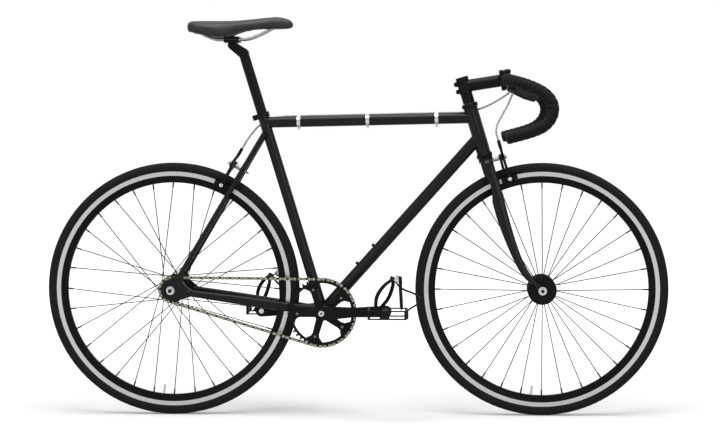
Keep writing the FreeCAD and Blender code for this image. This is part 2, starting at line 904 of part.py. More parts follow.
def make_seat_collar():
    top = on_seat_tube(d.seat_tube_length)
    bottom = top - SEAT_UP * d.collar_height
    outer = d.seat_tube_radius + d.collar_wall
    plane = Plane((top + bottom) / 2, SEAT_BACK, SEAT_UP)
    half_ear = d.collar_slit / 2 + d.collar_wall
    half_height = d.collar_height / 2
    ear_tip = outer + d.collar_ear
    band = rod(outer, bottom, top)
    ears = block(plane, (0, ear_tip), (-half_height, half_height), (-half_ear, half_ear))
    slit = block(
        plane,
        (0, ear_tip + d.overrun),
        (-d.collar_height, d.collar_height),
        (-d.collar_slit / 2, d.collar_slit / 2),
    )
    bolt_along = outer + d.collar_ear / 2
    head = half_ear + d.collar_bolt_head
    bolt = join(
        rod(d.collar_bolt_radius, plane.at(bolt_along, 0, -half_ear), plane.at(bolt_along, 0, half_ear)),
        rod(d.collar_bolt_head, plane.at(bolt_along, 0, half_ear), plane.at(bolt_along, 0, head)),
    )
    bore = rod(d.seat_tube_radius, bottom, top)
    collar = join(band, ears).cut(bore).cut(slit).cut(bolt)
    feature("seat_collar", collar, bolt)


CABLE_OFFSET_SHARES = (0.42, 0.9075)


def top_tube_cable_offset():
    """From the top tube's axis to the cable that lies on its upper left."""
    reach = d.top_tube_radius + d.cable_radius + d.running_gap
    side_share, over_share = CABLE_OFFSET_SHARES
    return LEFT * reach * side_share + TOP_TUBE_OVER * reach * over_share


def clip_middle(index):
    return TOP_TUBE_FRONT + TOP_TUBE_BACK * (d.clip_rear + index * d.clip_step)


def make_cable_clips():
    tube_solid = rod(d.top_tube_radius + d.running_gap, TOP_TUBE_FRONT, TOP_TUBE_REAR)
    cable_solid = rod(
        d.cable_radius + d.running_gap,
        TOP_TUBE_FRONT + top_tube_cable_offset(),
        TOP_TUBE_REAR + top_tube_cable_offset(),
    )
    clips = []
    for index in range(3):
        middle = clip_middle(index)
        start = middle - TOP_TUBE_BACK * d.clip_width / 2
        end = middle + TOP_TUBE_BACK * d.clip_width / 2
        offset = top_tube_cable_offset()
        band = rod(d.top_tube_radius + d.clip_wall, start, end)
        saddle = rod(d.cable_radius + d.clip_wall, start + offset, end + offset)
        screw = rod(
            d.clip_bolt_radius,
            middle - TOP_TUBE_OVER * d.top_tube_radius,
            middle - TOP_TUBE_OVER * (d.top_tube_radius + d.clip_bolt_length),
        )
        clips.append(join(band, saddle, screw).cut(tube_solid).cut(cable_solid))
    feature("cable_clips", *clips)


# Fork

BLADE_SHARES = (
    # height share, rake share, depth share, thickness share
    (1.0, 0.0, 1.0, 1.0),
    (0.70, 0.0, 0.96, 1.0),
    (0.45, 0.03, 0.80, 0.92),
    (0.27, 0.16, 0.67, 0.84),
    (0.13, 0.43, 0.56, 0.74),
)


def blade_top():
    return d.brake_pivot_radius - d.crown_foot


def blade_side_at(height):
    """How far out the blade's middle is at a height: straight from crown to fork end."""
    tip_side = d.front_end_side + d.fork_end_thickness / 2
    share = (blade_top() - height) / blade_top()
    return d.crown_side + (tip_side - d.crown_side) * share


def fork_end(side):
    """Plate with a slot, open downwards, for the front axle."""
    plane = Plane(FRONT_AXLE, FORWARD, UP)
    facing = side.dot(plane.out)
    out = (d.front_end_side * facing, (d.front_end_side + d.fork_end_thickness) * facing)
    shank = blade_tip(side) - FRONT_AXLE
    plate = taper(plane, (0, 0), d.fork_end_radius, (shank.x, shank.z), d.blade_tip_radius, out)
    slot_radius = d.front_axle_radius + d.running_gap
    slot = taper(plane, (0, 0), slot_radius, (0, -d.overrun), slot_radius - d.running_gap, out)
    return plate.cut(slot)


TIP_RAKE_SHARE = 0.80


def blade_tip(side):
    height = d.blade_tip_rise
    return FRONT_BRAKE.at(0, height, d.fork_rake * TIP_RAKE_SHARE) + side * blade_side_at(height)


def make_fork():
    steerer_bottom = d.brake_pivot_radius - d.crown_half_thickness
    steerer_top = STEM_TOP - d.seat_gap
    bolt_hole = rod(
        d.brake_bolt_radius + d.running_gap,
        FRONT_BRAKE.at(0, d.brake_pivot_radius, -d.overrun),
        FRONT_BRAKE.at(0, d.brake_pivot_radius, d.overrun),
    )
    steerer_outside = rod(d.steerer_radius, on_steerer(steerer_bottom), on_steerer(steerer_top))
    steerer_bore = rod(
        d.steerer_radius - d.steerer_wall, on_steerer(steerer_bottom), on_steerer(steerer_top)
    )
    feature("fork_steerer", steerer_outside.cut(steerer_bore).cut(bolt_hole))

    corners = [
        FRONT_BRAKE.at(-d.crown_side, blade_top()),
        FRONT_BRAKE.at(-d.crown_side, d.brake_pivot_radius),
        FRONT_BRAKE.at(d.crown_side, d.brake_pivot_radius),
        FRONT_BRAKE.at(d.crown_side, blade_top()),
    ]
    arch_path, _ = rounded_path(corners)
    arch = arch_path.makePipeShell(
        [oval(corners[0], LEFT, STEER_FORWARD, d.crown_half_thickness, d.crown_half_depth)], True, False
    )
    race = rod(d.cup_radius - d.cup_edge, on_steerer(d.brake_pivot_radius), on_steerer(CROWN_TOP))
    cup_room = rod(d.cup_radius + d.overrun, on_steerer(CROWN_TOP), on_steerer(CROWN_TOP + d.overrun))
    crown = join(arch, race).cut(steerer_outside).cut(bolt_hole).cut(cup_room)
    feature("fork_crown", crown)

    blades = []
    ends = []
    for side in SIDES.values():
        sections = []
        bores = []
        for height_share, rake_share, depth_share, thickness_share in BLADE_SHARES:
            height = blade_top() * height_share
            centre = FRONT_BRAKE.at(0, height, d.fork_rake * rake_share) + side * blade_side_at(height)
            half_thickness = d.crown_half_thickness * thickness_share
            half_depth = d.crown_half_depth * depth_share
            sections.append(oval(centre, LEFT, STEER_FORWARD, half_thickness, half_depth))
            bores.append(
                oval(centre, LEFT, STEER_FORWARD, half_thickness - d.tube_wall, half_depth - d.tube_wall)
            )
        sections.append(
            oval(blade_tip(side), LEFT, STEER_FORWARD, d.blade_tip_radius, d.blade_tip_radius + d.running_gap)
        )
        end = fork_end(side)
        blade = Part.makeLoft(sections, True, False).cut(Part.makeLoft(bores, True, False))
        blades.append(blade.cut(end))
        ends.append(end)
    feature("fork_blades", *blades, *ends)


# Stem, spacers and top cap


def make_headset_stack():
    solids = []
    for index in range(int(d.spacer_count)):
        low = SPACER_BOTTOM + index * d.spacer_height
        solids.append(
            ring(d.spacer_radius, d.steerer_radius, on_steerer(low), on_steerer(low + d.spacer_height))
        )
    cap_radius = d.steerer_radius + d.stem_wall
    cap = rod(cap_radius, on_steerer(STEM_TOP), on_steerer(STEM_TOP + d.cap_height))
    edge = [item for item in cap.Edges if item.CenterOfMass.z > on_steerer(STEM_TOP + d.cap_height / 2).z]
    rim = [item for item in edge if item.Closed]
    cap = cap.makeFillet(d.cap_height / 2, rim)
    bolt_well = rod(
        d.stem_bolt_head, on_steerer(STEM_TOP + d.cap_height / 2), on_steerer(STEM_TOP + d.overrun)
    )
    feature("headset_spacers", *solids, cap.cut(bolt_well))


STEM_ALONG = unit(BAR_CLAMP - STEM_MIDDLE)
STEM_SIDE = Plane(BAR_CLAMP, STEM_ALONG, LEFT.cross(STEM_ALONG) * -1)


def make_stem():
    clamp_outer = d.bar_bulge_radius + d.stem_clamp_wall
    bar_ends = [BAR_CLAMP + side * d.stem_clamp_half_width for side in (RIGHT, LEFT)]
    bar_bore = rod(d.bar_bulge_radius, *bar_ends)
    clamp = rod(clamp_outer, *bar_ends)
    steerer_outer = d.steerer_radius + d.stem_wall
    steerer_ends = (on_steerer(STEM_BOTTOM), on_steerer(STEM_TOP))
    collar = rod(steerer_outer, *steerer_ends)
    neck = rod(d.stem_tube_radius, STEM_MIDDLE, BAR_CLAMP)

    back = Plane(STEM_MIDDLE, STEER_FORWARD * -1, STEER_UP)
    ear_along = steerer_outer + d.stem_wall / 2
    ear_half = d.stem_height / 4
    ear_width = steerer_outer * EAR_SHARE
    bosses = [
        rod(
            d.stem_boss_radius,
            back.at(ear_along, rise, -ear_width),
            back.at(ear_along, rise, ear_width),
        )
        for rise in (-ear_half, ear_half)
    ]
    slit = block(
        back,
        (0, ear_along + d.overrun),
        (-d.stem_height, d.stem_height),
        (-d.stem_slit / 2, d.stem_slit / 2),
    )
    front_half = block(
        STEM_SIDE,
        (-d.stem_slit / 2, d.overrun),
        (-d.overrun, d.overrun),
        (-d.overrun, d.overrun),
    )
    plate_half = block(
        STEM_SIDE,
        (-d.overrun, d.stem_slit / 2),
        (-d.overrun, d.overrun),
        (-d.overrun, d.overrun),
    )
    pads = []
    bolts = []
    bolt_rise = d.bar_bulge_radius + d.stem_clamp_wall
    bolt_side = d.stem_clamp_half_width - d.stem_boss_radius - d.stem_slit
    for rise in (-bolt_rise, bolt_rise):
        for side in (-bolt_side, bolt_side):
            start = STEM_SIDE.at(-d.stem_boss_radius * 2, rise, side)
            end = STEM_SIDE.at(d.stem_boss_radius * 2, rise, side)
            pads.append(rod(d.stem_boss_radius, start, end))
            head = STEM_SIDE.at(d.stem_boss_radius * 2 + d.stem_bolt_head, rise, side)
            bolts.append(join(rod(d.stem_bolt_radius, start, end), rod(d.stem_bolt_head, end, head)))
    pinch_bolts = []
    for rise in (-ear_half, ear_half):
        start = back.at(ear_along, rise, -ear_width)
        end = back.at(ear_along, rise, ear_width)
        head = back.at(ear_along, rise, ear_width + d.stem_bolt_head)
        pinch_bolts.append(join(rod(d.stem_bolt_radius, start, end), rod(d.stem_bolt_head, end, head)))

    steerer_bore = rod(d.steerer_radius, *steerer_ends)
    body = join(collar, neck, clamp, *bosses, *pads)
    body = body.cut(bar_bore).cut(steerer_bore).cut(slit).cut(front_half).cut(bolts).cut(pinch_bolts)
    plate = join(clamp, *pads).cut(bar_bore).cut(plate_half).cut(bolts)
    feature("stem", max(body.Solids, key=lambda solid: solid.Volume), *pinch_bolts)
    feature("stem_faceplate", max(plate.Solids, key=lambda solid: solid.Volume), *bolts)


EAR_SHARE = 0.8

# Handlebar, tape and plugs

BAR_SHARES = (
    # forward, sideways and down, as shares of reach, half width and drop
    (0.0, 0.40, 0.0),
    (0.085, 0.58, 0.02),
    (0.30, 0.745, 0.065),
    (0.58, 0.86, 0.145),
    (0.83, 0.925, 0.255),
    (0.965, 0.955, 0.39),
    (1.0, 0.97, 0.525),
    (0.945, 0.98, 0.675),
    (0.80, 0.99, 0.80),
    (0.60, 0.995, 0.875),
    (0.33, 1.0, 0.94),
    (0.02, 1.0, 1.0),
)
BAR_ARC_SHARE = 0.48


def bar_points(side):
    """Corners of one half of the bar, from the middle outwards."""
    return [
        BAR_CLAMP
        + FORWARD * d.bar_reach * forward
        + side * d.bar_half_width * sideways
        - UP * d.bar_drop * down
        for forward, sideways, down in BAR_SHARES
    ]


def along_path(path, distances):
    """Points and directions at distances along a path."""
    count = int(path.Length)
    points = path.discretize(Number=count + 1)
    step = path.Length / count
    found = []
    for distance in distances:
        index = min(int(distance / step), count - 1)
        share = distance / step - index
        ahead = points[index + 1] - points[index]
        found.append((points[index] + ahead * share, unit(ahead)))
    return found


TAPE_RISE_SHARES = (0.0, 0.3, 0.78, 0.92)
TAPE_RIDGE_SHARES = (0.0, 0.75, 1.0, 0.35)


def tape_sleeve(side):
    """Wrapped tape on one half of the bar: each wrap overlaps the one before in a low ridge."""
    path, _ = rounded_path([BAR_CLAMP] + bar_points(side), BAR_ARC_SHARE)
    wrap = (path.Length - d.tape_start) / d.tape_wraps
    distances = [
        d.tape_start + wrap * (index + rise)
        for index in range(int(d.tape_wraps))
        for rise in TAPE_RISE_SHARES
    ]
    radii = [
        d.bar_radius + d.tape_thickness + d.tape_ridge * ridge
        for _ in range(int(d.tape_wraps))
        for ridge in TAPE_RIDGE_SHARES
    ]
    distances.append(path.Length)
    radii.append(d.bar_radius + d.tape_thickness)
    across = FORWARD
    circles = []
    for (point, heading), radius in zip(along_path(path, distances), radii):
        across = unit(across - heading * across.dot(heading))
        circle = Part.makeCircle(radius)
        circle.Placement = Placement(point, Rotation(across, heading.cross(across), heading, "ZXY"))
        circles.append(Part.Wire([circle]))
    sleeve = Part.makeLoft(circles, True, True)
    return sleeve.cut(pipe(path, d.bar_radius + d.running_gap))


def bar_path():
    """The whole bar's axis, from its right end to its left end."""
    path, _ = rounded_path(bar_points(RIGHT)[::-1] + bar_points(LEFT), BAR_ARC_SHARE)
    return path


def make_handlebar():
    left = bar_points(LEFT)
    right = bar_points(RIGHT)
    path = bar_path()
    bulge = rod(
        d.bar_bulge_radius,
        BAR_CLAMP + RIGHT * d.bar_bulge_half_width,
        BAR_CLAMP + LEFT * d.bar_bulge_half_width,
    )
    outside = join(pipe(path, d.bar_radius), bulge)
    bore_radius = d.bar_radius - d.bar_wall
    feature("handlebar", outside.cut(pipe(path, bore_radius)))
    plugs = []
    for points in (left, right):
        outward = unit(points[-1] - points[-2])
        end = points[-1]
        stem = rod(bore_radius - d.running_gap, end - outward * d.plug_length, end)
        flange_start = end + outward * d.running_gap
        flange = rod(d.bar_radius + d.tape_thickness, flange_start, end + outward * d.plug_flange)
        neck = rod(bore_radius - d.running_gap, end, end + outward * d.plug_flange)
        plugs.append(join(stem, neck, flange))
    feature("bar_tape", tape_sleeve(RIGHT), tape_sleeve(LEFT), *plugs)


# Brake levers


def lever_plane(side):
    """Where a lever swings: its pivot, the way the blade points and the way it is pulled."""
    pivot = BAR_CLAMP + FORWARD * d.lever_pivot_forward + side * d.lever_pivot_side - UP * d.lever_pivot_drop
    tip = BAR_CLAMP + FORWARD * d.lever_tip_forward + side * d.lever_tip_side - UP * d.lever_tip_drop
    along = unit(tip - pivot)
    pull = UP - FORWARD
    pull = pull - along * pull.dot(along)
    return Plane(pivot, along, pull), (tip - pivot).Length


BLADE_BEND_SHARES = ((0.17, -0.02), (0.55, -0.06), (1.0, 0.0))
TONGUE_SHARES = (-1.9, 1.6)


def make_brake_levers():
    plane, length = lever_plane(RIGHT)
    half_tongue = d.lever_tongue / 2
    inner = half_tongue + d.seat_gap
    outer = inner + d.lever_cheek
    pin_half = outer + d.running_gap
    clamp_start = BAR_CLAMP + RIGHT * (d.lever_clamp_side - d.lever_clamp_width / 2)
    clamp_end = BAR_CLAMP + RIGHT * (d.lever_clamp_side + d.lever_clamp_width / 2)
    band = rod(d.bar_radius + d.lever_clamp_wall, clamp_start, clamp_end)
    back = tuple(share * d.lever_root_radius for share in TONGUE_SHARES)
    tongue = taper(
        plane,
        (0, 0),
        d.lever_root_radius,
        back,
        d.lever_root_radius + d.running_gap,
        (-half_tongue, half_tongue),
    )
    pin = rod(d.lever_pin_radius, plane.at(0, 0, -pin_half), plane.at(0, 0, pin_half))
    bar_section = Plane(BAR_CLAMP, FORWARD, UP)
    stop_face = d.lever_clamp_side - d.lever_clamp_width / 2
    cable_stop = taper(
        bar_section,
        (0, 0),
        d.bar_radius,
        (d.cable_stop_forward, -d.cable_stop_drop),
        d.cable_stop_radius,
        (stop_face, stop_face + d.cable_stop_width),
    )
    clamp = join(band, tongue, pin, cable_stop).cut(pipe(bar_path(), d.bar_radius))
    clamp = max(clamp.Solids, key=lambda solid: solid.Volume)

    points = [(length * along, length * bend) for along, bend in BLADE_BEND_SHARES]
    cheeks = [
        taper(plane, (0, 0), d.lever_root_radius, points[0], d.lever_blade_radius, layer)
        for layer in ((-outer, -inner), (inner, outer))
    ]
    radii = [d.lever_blade_radius] * len(points)
    radii[1] = d.lever_blade_radius - d.running_gap
    blade = chain_of_tapers(plane, points, radii, (-outer, outer))
    pin_hole = rod(
        d.lever_pin_radius + d.running_gap, plane.at(0, 0, -d.overrun), plane.at(0, 0, d.overrun)
    )
    blade = join(blade, *cheeks).cut(pin_hole)
    feature("lever_clamps", clamp, mirrored(clamp))
    feature("right_lever_blade", blade)
    feature("left_lever_blade", mirrored(blade))


# Brake calipers


def caliper_layers(stand_off):
    """Front and back of the two arms, out from the wheel's plane of the pivot."""
    first = (stand_off, stand_off + d.brake_arm_thickness)
    second_low = first[1] + d.seat_gap
    return first, (second_low, second_low + d.brake_arm_thickness)


def pad_height(plane_out, axle_out):
    """Height of the brake track's middle above the axle where an arm's plane meets the rim."""
    track = d.rim_edge_radius - d.brake_track_height / 2
    return math.sqrt(track**2 - (plane_out - axle_out) ** 2)


def brake_pad(plane, sign, middle, axle_out):
    """Rubber block beside the rim, level with the brake track, on its arm's bolt."""
    height = pad_height(middle, axle_out)
    tilt = math.atan2(axle_out - middle, height)
    along = plane.out * math.cos(tilt) + plane.up * math.sin(tilt)
    inner = d.rim_half_width + d.pad_gap
    outer = d.brake_foot_side - d.brake_arm_radius
    frame = Plane(plane.at(0, height, middle), along, plane.across.cross(along) * -1)
    frame.out = plane.across * sign
    return block(
        frame,
        (-d.pad_half_length, d.pad_half_length),
        (-d.pad_half_height, d.pad_half_height),
        (inner, outer),
    )


def make_caliper(prefix, plane, stand_off, axle_out, names):
    """Two arms on one bolt: the outer carries the cable's stop, the inner the cable's end."""
    pivot = d.brake_pivot_radius
    first, second = caliper_layers(stand_off)
    hole = rod(
        d.brake_bolt_radius + d.running_gap, plane.at(0, pivot, -d.overrun), plane.at(0, pivot, d.overrun * 2)
    )
    arms = []
    low_tail_rise = d.brake_tail_rise - d.brake_tail_split
    for layer, sign, tail_rise in ((second, -1, d.brake_tail_rise), (first, 1, low_tail_rise)):
        middle = (layer[0] + layer[1]) / 2
        foot_height = pad_height(middle, axle_out)
        points = [
            (0, pivot),
            (sign * d.brake_shoulder_side, pivot - d.brake_shoulder_drop),
            (sign * d.brake_elbow_side, pivot - d.brake_elbow_drop),
            (sign * d.brake_foot_side, foot_height),
        ]
        radii = [d.brake_boss_radius] + [d.brake_arm_radius] * 3
        radii[2] += d.running_gap
        limb = chain_of_tapers(plane, points, radii, layer)
        tail_end = (-d.brake_tail_side, pivot + tail_rise)
        tail = taper(plane, (0, pivot), d.brake_boss_radius, tail_end, d.brake_arm_radius, layer)
        arm = join(limb, tail).cut(hole)
        bolt_out = sign * (d.brake_foot_side + d.brake_arm_radius)
        bolt = rod(
            d.pad_bolt_radius,
            plane.at(bolt_out, foot_height, middle),
            plane.at(bolt_out + sign * d.pad_bolt_head, foot_height, middle),
        )
        pad = brake_pad(plane, sign, middle, axle_out)
        arms.append([join(arm, bolt), pad])

    barrel_foot = plane.at(-d.brake_tail_side, pivot + d.brake_tail_rise, sum(second) / 2)
    barrel_top = barrel_foot + plane.up * (d.brake_arm_radius + d.barrel_length)
    arms[0][0] = join(arms[0][0], rod(d.barrel_radius, barrel_foot, barrel_top))
    for name, arm in zip(names, arms):
        feature(f"{prefix}_{name}_caliper_arm", *arm)

    face = second[1] + d.seat_gap
    shank = rod(d.brake_bolt_radius, plane.at(0, pivot, -d.crown_half_depth), plane.at(0, pivot, face))
    spacer = rod(d.brake_nut_radius, plane.at(0, pivot), plane.at(0, pivot, stand_off - d.seat_gap))
    head = rod(
        d.brake_nut_radius, plane.at(0, pivot, face), plane.at(0, pivot, face + d.brake_bolt_radius * 2)
    )
    return shank, spacer, head


def make_brakes():
    shank, spacer, head = make_caliper(
        "front", FRONT_BRAKE, d.front_brake_stand_off, d.fork_rake, ("right", "left")
    )
    crown = next(item.Shape for item in nodes if item.Label == "fork_crown")
    steerer_room = rod(d.steerer_radius, on_steerer(0), on_steerer(STEM_BOTTOM))
    spacer = max(spacer.cut(crown).cut(steerer_room).Solids, key=lambda solid: solid.CenterOfMass.x)
    feature("front_brake_bolt", join(shank, spacer, head))

    shank, spacer, head = make_caliper(
        "rear", REAR_BRAKE, d.rear_brake_stand_off, 0, ("left", "right")
    )
    bridge = rod(
        d.bridge_radius,
        REAR_BRAKE.at(-d.shell_half_width, d.brake_pivot_radius),
        REAR_BRAKE.at(d.shell_half_width, d.brake_pivot_radius),
    )
    spacer = min(spacer.cut(bridge).Solids, key=lambda solid: solid.CenterOfMass.x)
    feature("rear_brake_bolt", join(shank, spacer, head))


# Brake cables: points chosen along each real route


def barrel_top(plane, stand_off):
    _, second = caliper_layers(stand_off)
    height = d.brake_pivot_radius + d.brake_tail_rise + d.brake_arm_radius + d.barrel_length
    return plane.at(-d.brake_tail_side, height + d.seat_gap, sum(second) / 2)


def from_point(origin, shares, side=LEFT):
    """Route points given as shares of the cables' span: forward, to a side and up from a point."""
    return [
        origin + (FORWARD * ahead + side * across + UP * rise) * d.cable_span for ahead, across, rise in shares
    ]


FRONT_CABLE_SHARES = (
    (0.23, 0.28, -0.24),
    (0.215, 0.13, -0.31),
    (0.165, 0.02, -0.45),
    (0.06, -0.01, -0.69),
    (-0.09, 0.08, -0.95),
    (-0.21, 0.22, -1.16),
)
CABLE_LOOP_SHARES = (
    (0.23, 0.28, -0.24),
    (0.163, 0.137, -0.30),
    (0.03, 0.055, -0.40),
    (-0.19, 0.07, -0.545),
    (-0.50, 0.174, -0.71),
    (-0.86, 0.28, -0.83),
    (-1.18, 0.21, -0.87),
)
REAR_CABLE_SHARES = (
    (0.26, 0.195, 0.14),
    (-0.08, 0.265, -0.02),
    (-0.271, 0.295, -0.164),
)


def lever_cable_start(side):
    """Inner face of a lever's cable stop."""
    return (
        BAR_CLAMP
        + FORWARD * d.cable_stop_forward
        + side * (d.lever_clamp_side - d.lever_clamp_width / 2 - d.seat_gap)
        - UP * d.cable_stop_drop
    )


def make_cables():
    end = barrel_top(FRONT_BRAKE, d.front_brake_stand_off)
    points = [lever_cable_start(RIGHT), *from_point(BAR_CLAMP, FRONT_CABLE_SHARES, RIGHT)]
    points += [end + STEER_UP * d.cable_lead_in, end]
    feature("front_brake_cable", cable("front brake cable", points))

    joint = clip_middle(0) + top_tube_cable_offset() - TOP_TUBE_BACK * d.clip_width
    points = [lever_cable_start(LEFT), *from_point(BAR_CLAMP, CABLE_LOOP_SHARES)]
    points += [joint - TOP_TUBE_BACK * d.cable_lead_in, joint]
    feature("rear_cable_loop", cable("rear cable loop", points))

    end = barrel_top(REAR_BRAKE, d.rear_brake_stand_off)
    leaving = clip_middle(2) + top_tube_cable_offset() + TOP_TUBE_BACK * d.cable_lead_in
    points = [joint, leaving, *from_point(TOP_TUBE_REAR, REAR_CABLE_SHARES)]
    points += [end + STAY_UP * d.cable_lead_in, end]
    feature("rear_brake_cable", cable("rear brake cable", points))


# Wheels


def make_tyre(label, axle):
    """Open tyre: a round casing with its inside hollowed and two beads that sit in the rim."""
    body = doc.addObject("PartDesign::Body", label)
    middle = "sizes.tyre_radius - sizes.tyre_section_radius"
    foot = "sizes.rim_edge_radius + sizes.seat_gap"
    floor = "sizes.rim_edge_radius - sizes.rim_well_depth + sizes.seat_gap"
    bead_out = "sizes.rim_half_width - sizes.rim_flange_wall - sizes.seat_gap"
    bead_in = "sizes.rim_half_width - sizes.rim_flange_wall - sizes.seat_gap - sizes.tyre_wall"
    casing = circle_sketch(body, f"{label}_casing", "XY_Plane", middle, "0", "sizes.tyre_section_radius")
    spun(body, "PartDesign::Revolution", f"{label}_round", casing)
    under = polygon_sketch(
        body,
        f"{label}_under",
        "XY_Plane",
        [
            (foot, "-2 * sizes.tyre_section_radius"),
            (foot, "2 * sizes.tyre_section_radius"),
            ("sizes.rim_edge_radius - sizes.rim_depth", "2 * sizes.tyre_section_radius"),
            ("sizes.rim_edge_radius - sizes.rim_depth", "-2 * sizes.tyre_section_radius"),
        ],
    )
    spun(body, "PartDesign::Groove", f"{label}_open", under)
    bead_top = "sizes.rim_edge_radius + sizes.tyre_wall"
    for name, sign in (("right", "-"), ("left", "")):
        bead = polygon_sketch(
            body,
            f"{label}_{name}_bead",
            "XY_Plane",
            [
                (floor, f"{sign}({bead_in})"),
                (floor, f"{sign}({bead_out})"),
                (bead_top, f"{sign}({bead_out})"),
                (bead_top, f"{sign}({bead_in})"),
            ],
        )
        spun(body, "PartDesign::Revolution", f"{label}_{name}_bead_round", bead)
    inside = circle_sketch(
        body,
        f"{label}_inside",
        "XY_Plane",
        middle,
        "0",
        "sizes.tyre_section_radius - sizes.tyre_wall",
    )
    hollow = spun(body, "PartDesign::Groove", f"{label}_hollow", inside)
    body.Tip = hollow
    body.Placement = Placement(axle, Rotation())
    nodes.append(body)


def valve_direction():
    """Outward along the wheel's radius to its valve, midway between two spokes."""
    return in_side_view((d.valve_place + 1 / 2) * 360 / d.spoke_count)


def make_inner_tube(label, axle):
    """Hollow rubber ring with the valve's stem, which passes through the rim."""
    middle = d.tyre_radius - d.tyre_section_radius
    outer = d.tyre_section_radius - d.tyre_wall - d.seat_gap
    air = outer - d.inner_tube_wall
    skin = Part.makeTorus(middle, outer, axle, LEFT).cut(Part.makeTorus(middle, air, axle, LEFT))
    out = valve_direction()
    tip = axle + out * (d.rim_edge_radius - d.rim_depth - d.valve_reach)
    stem = rod(d.valve_radius, tip, axle + out * (middle - air - d.inner_tube_wall / 2))
    bore = rod(d.valve_bore_radius, tip, axle + out * middle)
    feature(label, join(skin, stem).cut(bore))


def make_rim(label, axle):
    """Deep hollow rim: flanges round the tyre's well, flat brake tracks, then sides that close to a nose."""
    body = doc.addObject("PartDesign::Body", f"{label}_section")
    edge = "sizes.rim_edge_radius"
    floor = "sizes.rim_edge_radius - sizes.rim_well_depth"
    track = "sizes.rim_edge_radius - sizes.brake_track_height"
    nose = "sizes.rim_edge_radius - sizes.rim_depth"
    inside = "sizes.rim_half_width - sizes.rim_flange_wall"
    half = [
        (floor, inside),
        (edge, inside),
        (edge, "sizes.rim_half_width"),
        (track, "sizes.rim_half_width"),
        (nose, "sizes.rim_nose_half_width"),
    ]
    other = [(radius, f"-({side})") for radius, side in reversed(half)]
    profile = polygon_sketch(body, f"{label}_profile", "XY_Plane", half + other)
    spun(body, "PartDesign::Revolution", f"{label}_round", profile)
    half_room = [
        (f"{floor} - sizes.rim_wall", "sizes.rim_half_width - sizes.rim_wall"),
        (track, "sizes.rim_half_width - sizes.rim_wall"),
        (f"{nose} + sizes.rim_wall", "sizes.rim_nose_half_width - sizes.rim_wall"),
    ]
    other_room = [(radius, f"-({side})") for radius, side in reversed(half_room)]
    room = polygon_sketch(body, f"{label}_room", "XY_Plane", half_room + other_room)
    body.Tip = spun(body, "PartDesign::Groove", f"{label}_hollow", room)
    body.Placement = Placement(axle, Rotation())
    hole = cylinder(f"{label}_valve_hole", "sizes.valve_radius + sizes.seat_gap", edge, axle, valve_direction())
    nodes.append(cut(label, body, hole))


def make_hub(axle, which):
    """Hub shell with two tall flanges, and a cartridge bearing pressed into each end."""
    flange_side = getattr(d, f"{which}_flange_side")
    flange_radius = getattr(d, f"{which}_flange_radius")
    half_width = getattr(d, f"{which}_hub_half_width")
    axle_hole = getattr(d, f"{which}_axle_radius") + d.running_gap
    low = flange_side - d.flange_thickness / 2
    high = flange_side + d.flange_thickness / 2
    seat = half_width - d.bearing_width
    bore = axle_hole + d.seat_gap
    half = [
        (0, bore),
        (0, d.hub_shell_radius),
        (low, d.hub_shell_radius),
        (low, flange_radius),
        (high, flange_radius),
        (high, d.hub_end_radius),
        (half_width, d.hub_end_radius),
        (half_width, d.bearing_radius),
        (seat, d.bearing_radius),
        (seat, bore),
    ]
    plane = Plane(axle, FORWARD, LEFT.cross(FORWARD))
    plane.out = LEFT
    shell = join(lathe(plane, half), lathe(plane, [(-along, radius) for along, radius in half]))
    bearings = [
        ring(d.bearing_radius, axle_hole, axle + side * seat, axle + side * half_width)
        for side in SIDES.values()
    ]
    return shell, bearings


def make_spokes(label, axle, which, crosses):
    """Spokes with nipples, each copied round the wheel from the first of its kind."""
    flange_side = getattr(d, f"{which}_flange_side")
    hole_radius = getattr(d, f"{which}_flange_radius") - d.spoke_inset
    rim_radius = d.rim_edge_radius - d.rim_depth - d.seat_gap
    per_side = int(d.spoke_count / 2)
    step = 360 / per_side
    leave = d.spoke_inset * (1 + crosses)
    solids = []
    for side_index, side in enumerate(SIDES.values()):
        for parity in (0, 1):
            outside = parity == 0 or crosses == 0
            turn = crosses * step * (1 if parity == 0 else -1)
            face = flange_side + (1 if outside else -1) * d.flange_thickness / 2
            away = d.spoke_radius + d.seat_gap
            if outside:
                away += leave * flange_side / rim_radius
            start_side = face + away * (1 if outside else -1)
            hole = in_side_view(turn) * hole_radius
            start = axle + hole + side * start_side
            end = axle + FORWARD * rim_radius + side * (d.rim_nose_half_width / 2)
            thread = end + unit(start - end) * d.nipple_length
            elbow = rod(d.spoke_radius, axle + hole + side * face, start)
            ball = Part.makeSphere(d.spoke_radius, start)
            spoke = join(rod(d.spoke_radius, start, end), elbow, ball, rod(d.nipple_radius, thread, end))
            for index in range(parity, per_side, 2):
                angle = index * step + side_index * step / 2
                solids.append(spoke.rotated(axle, RIGHT, angle))
    feature(label, *solids)


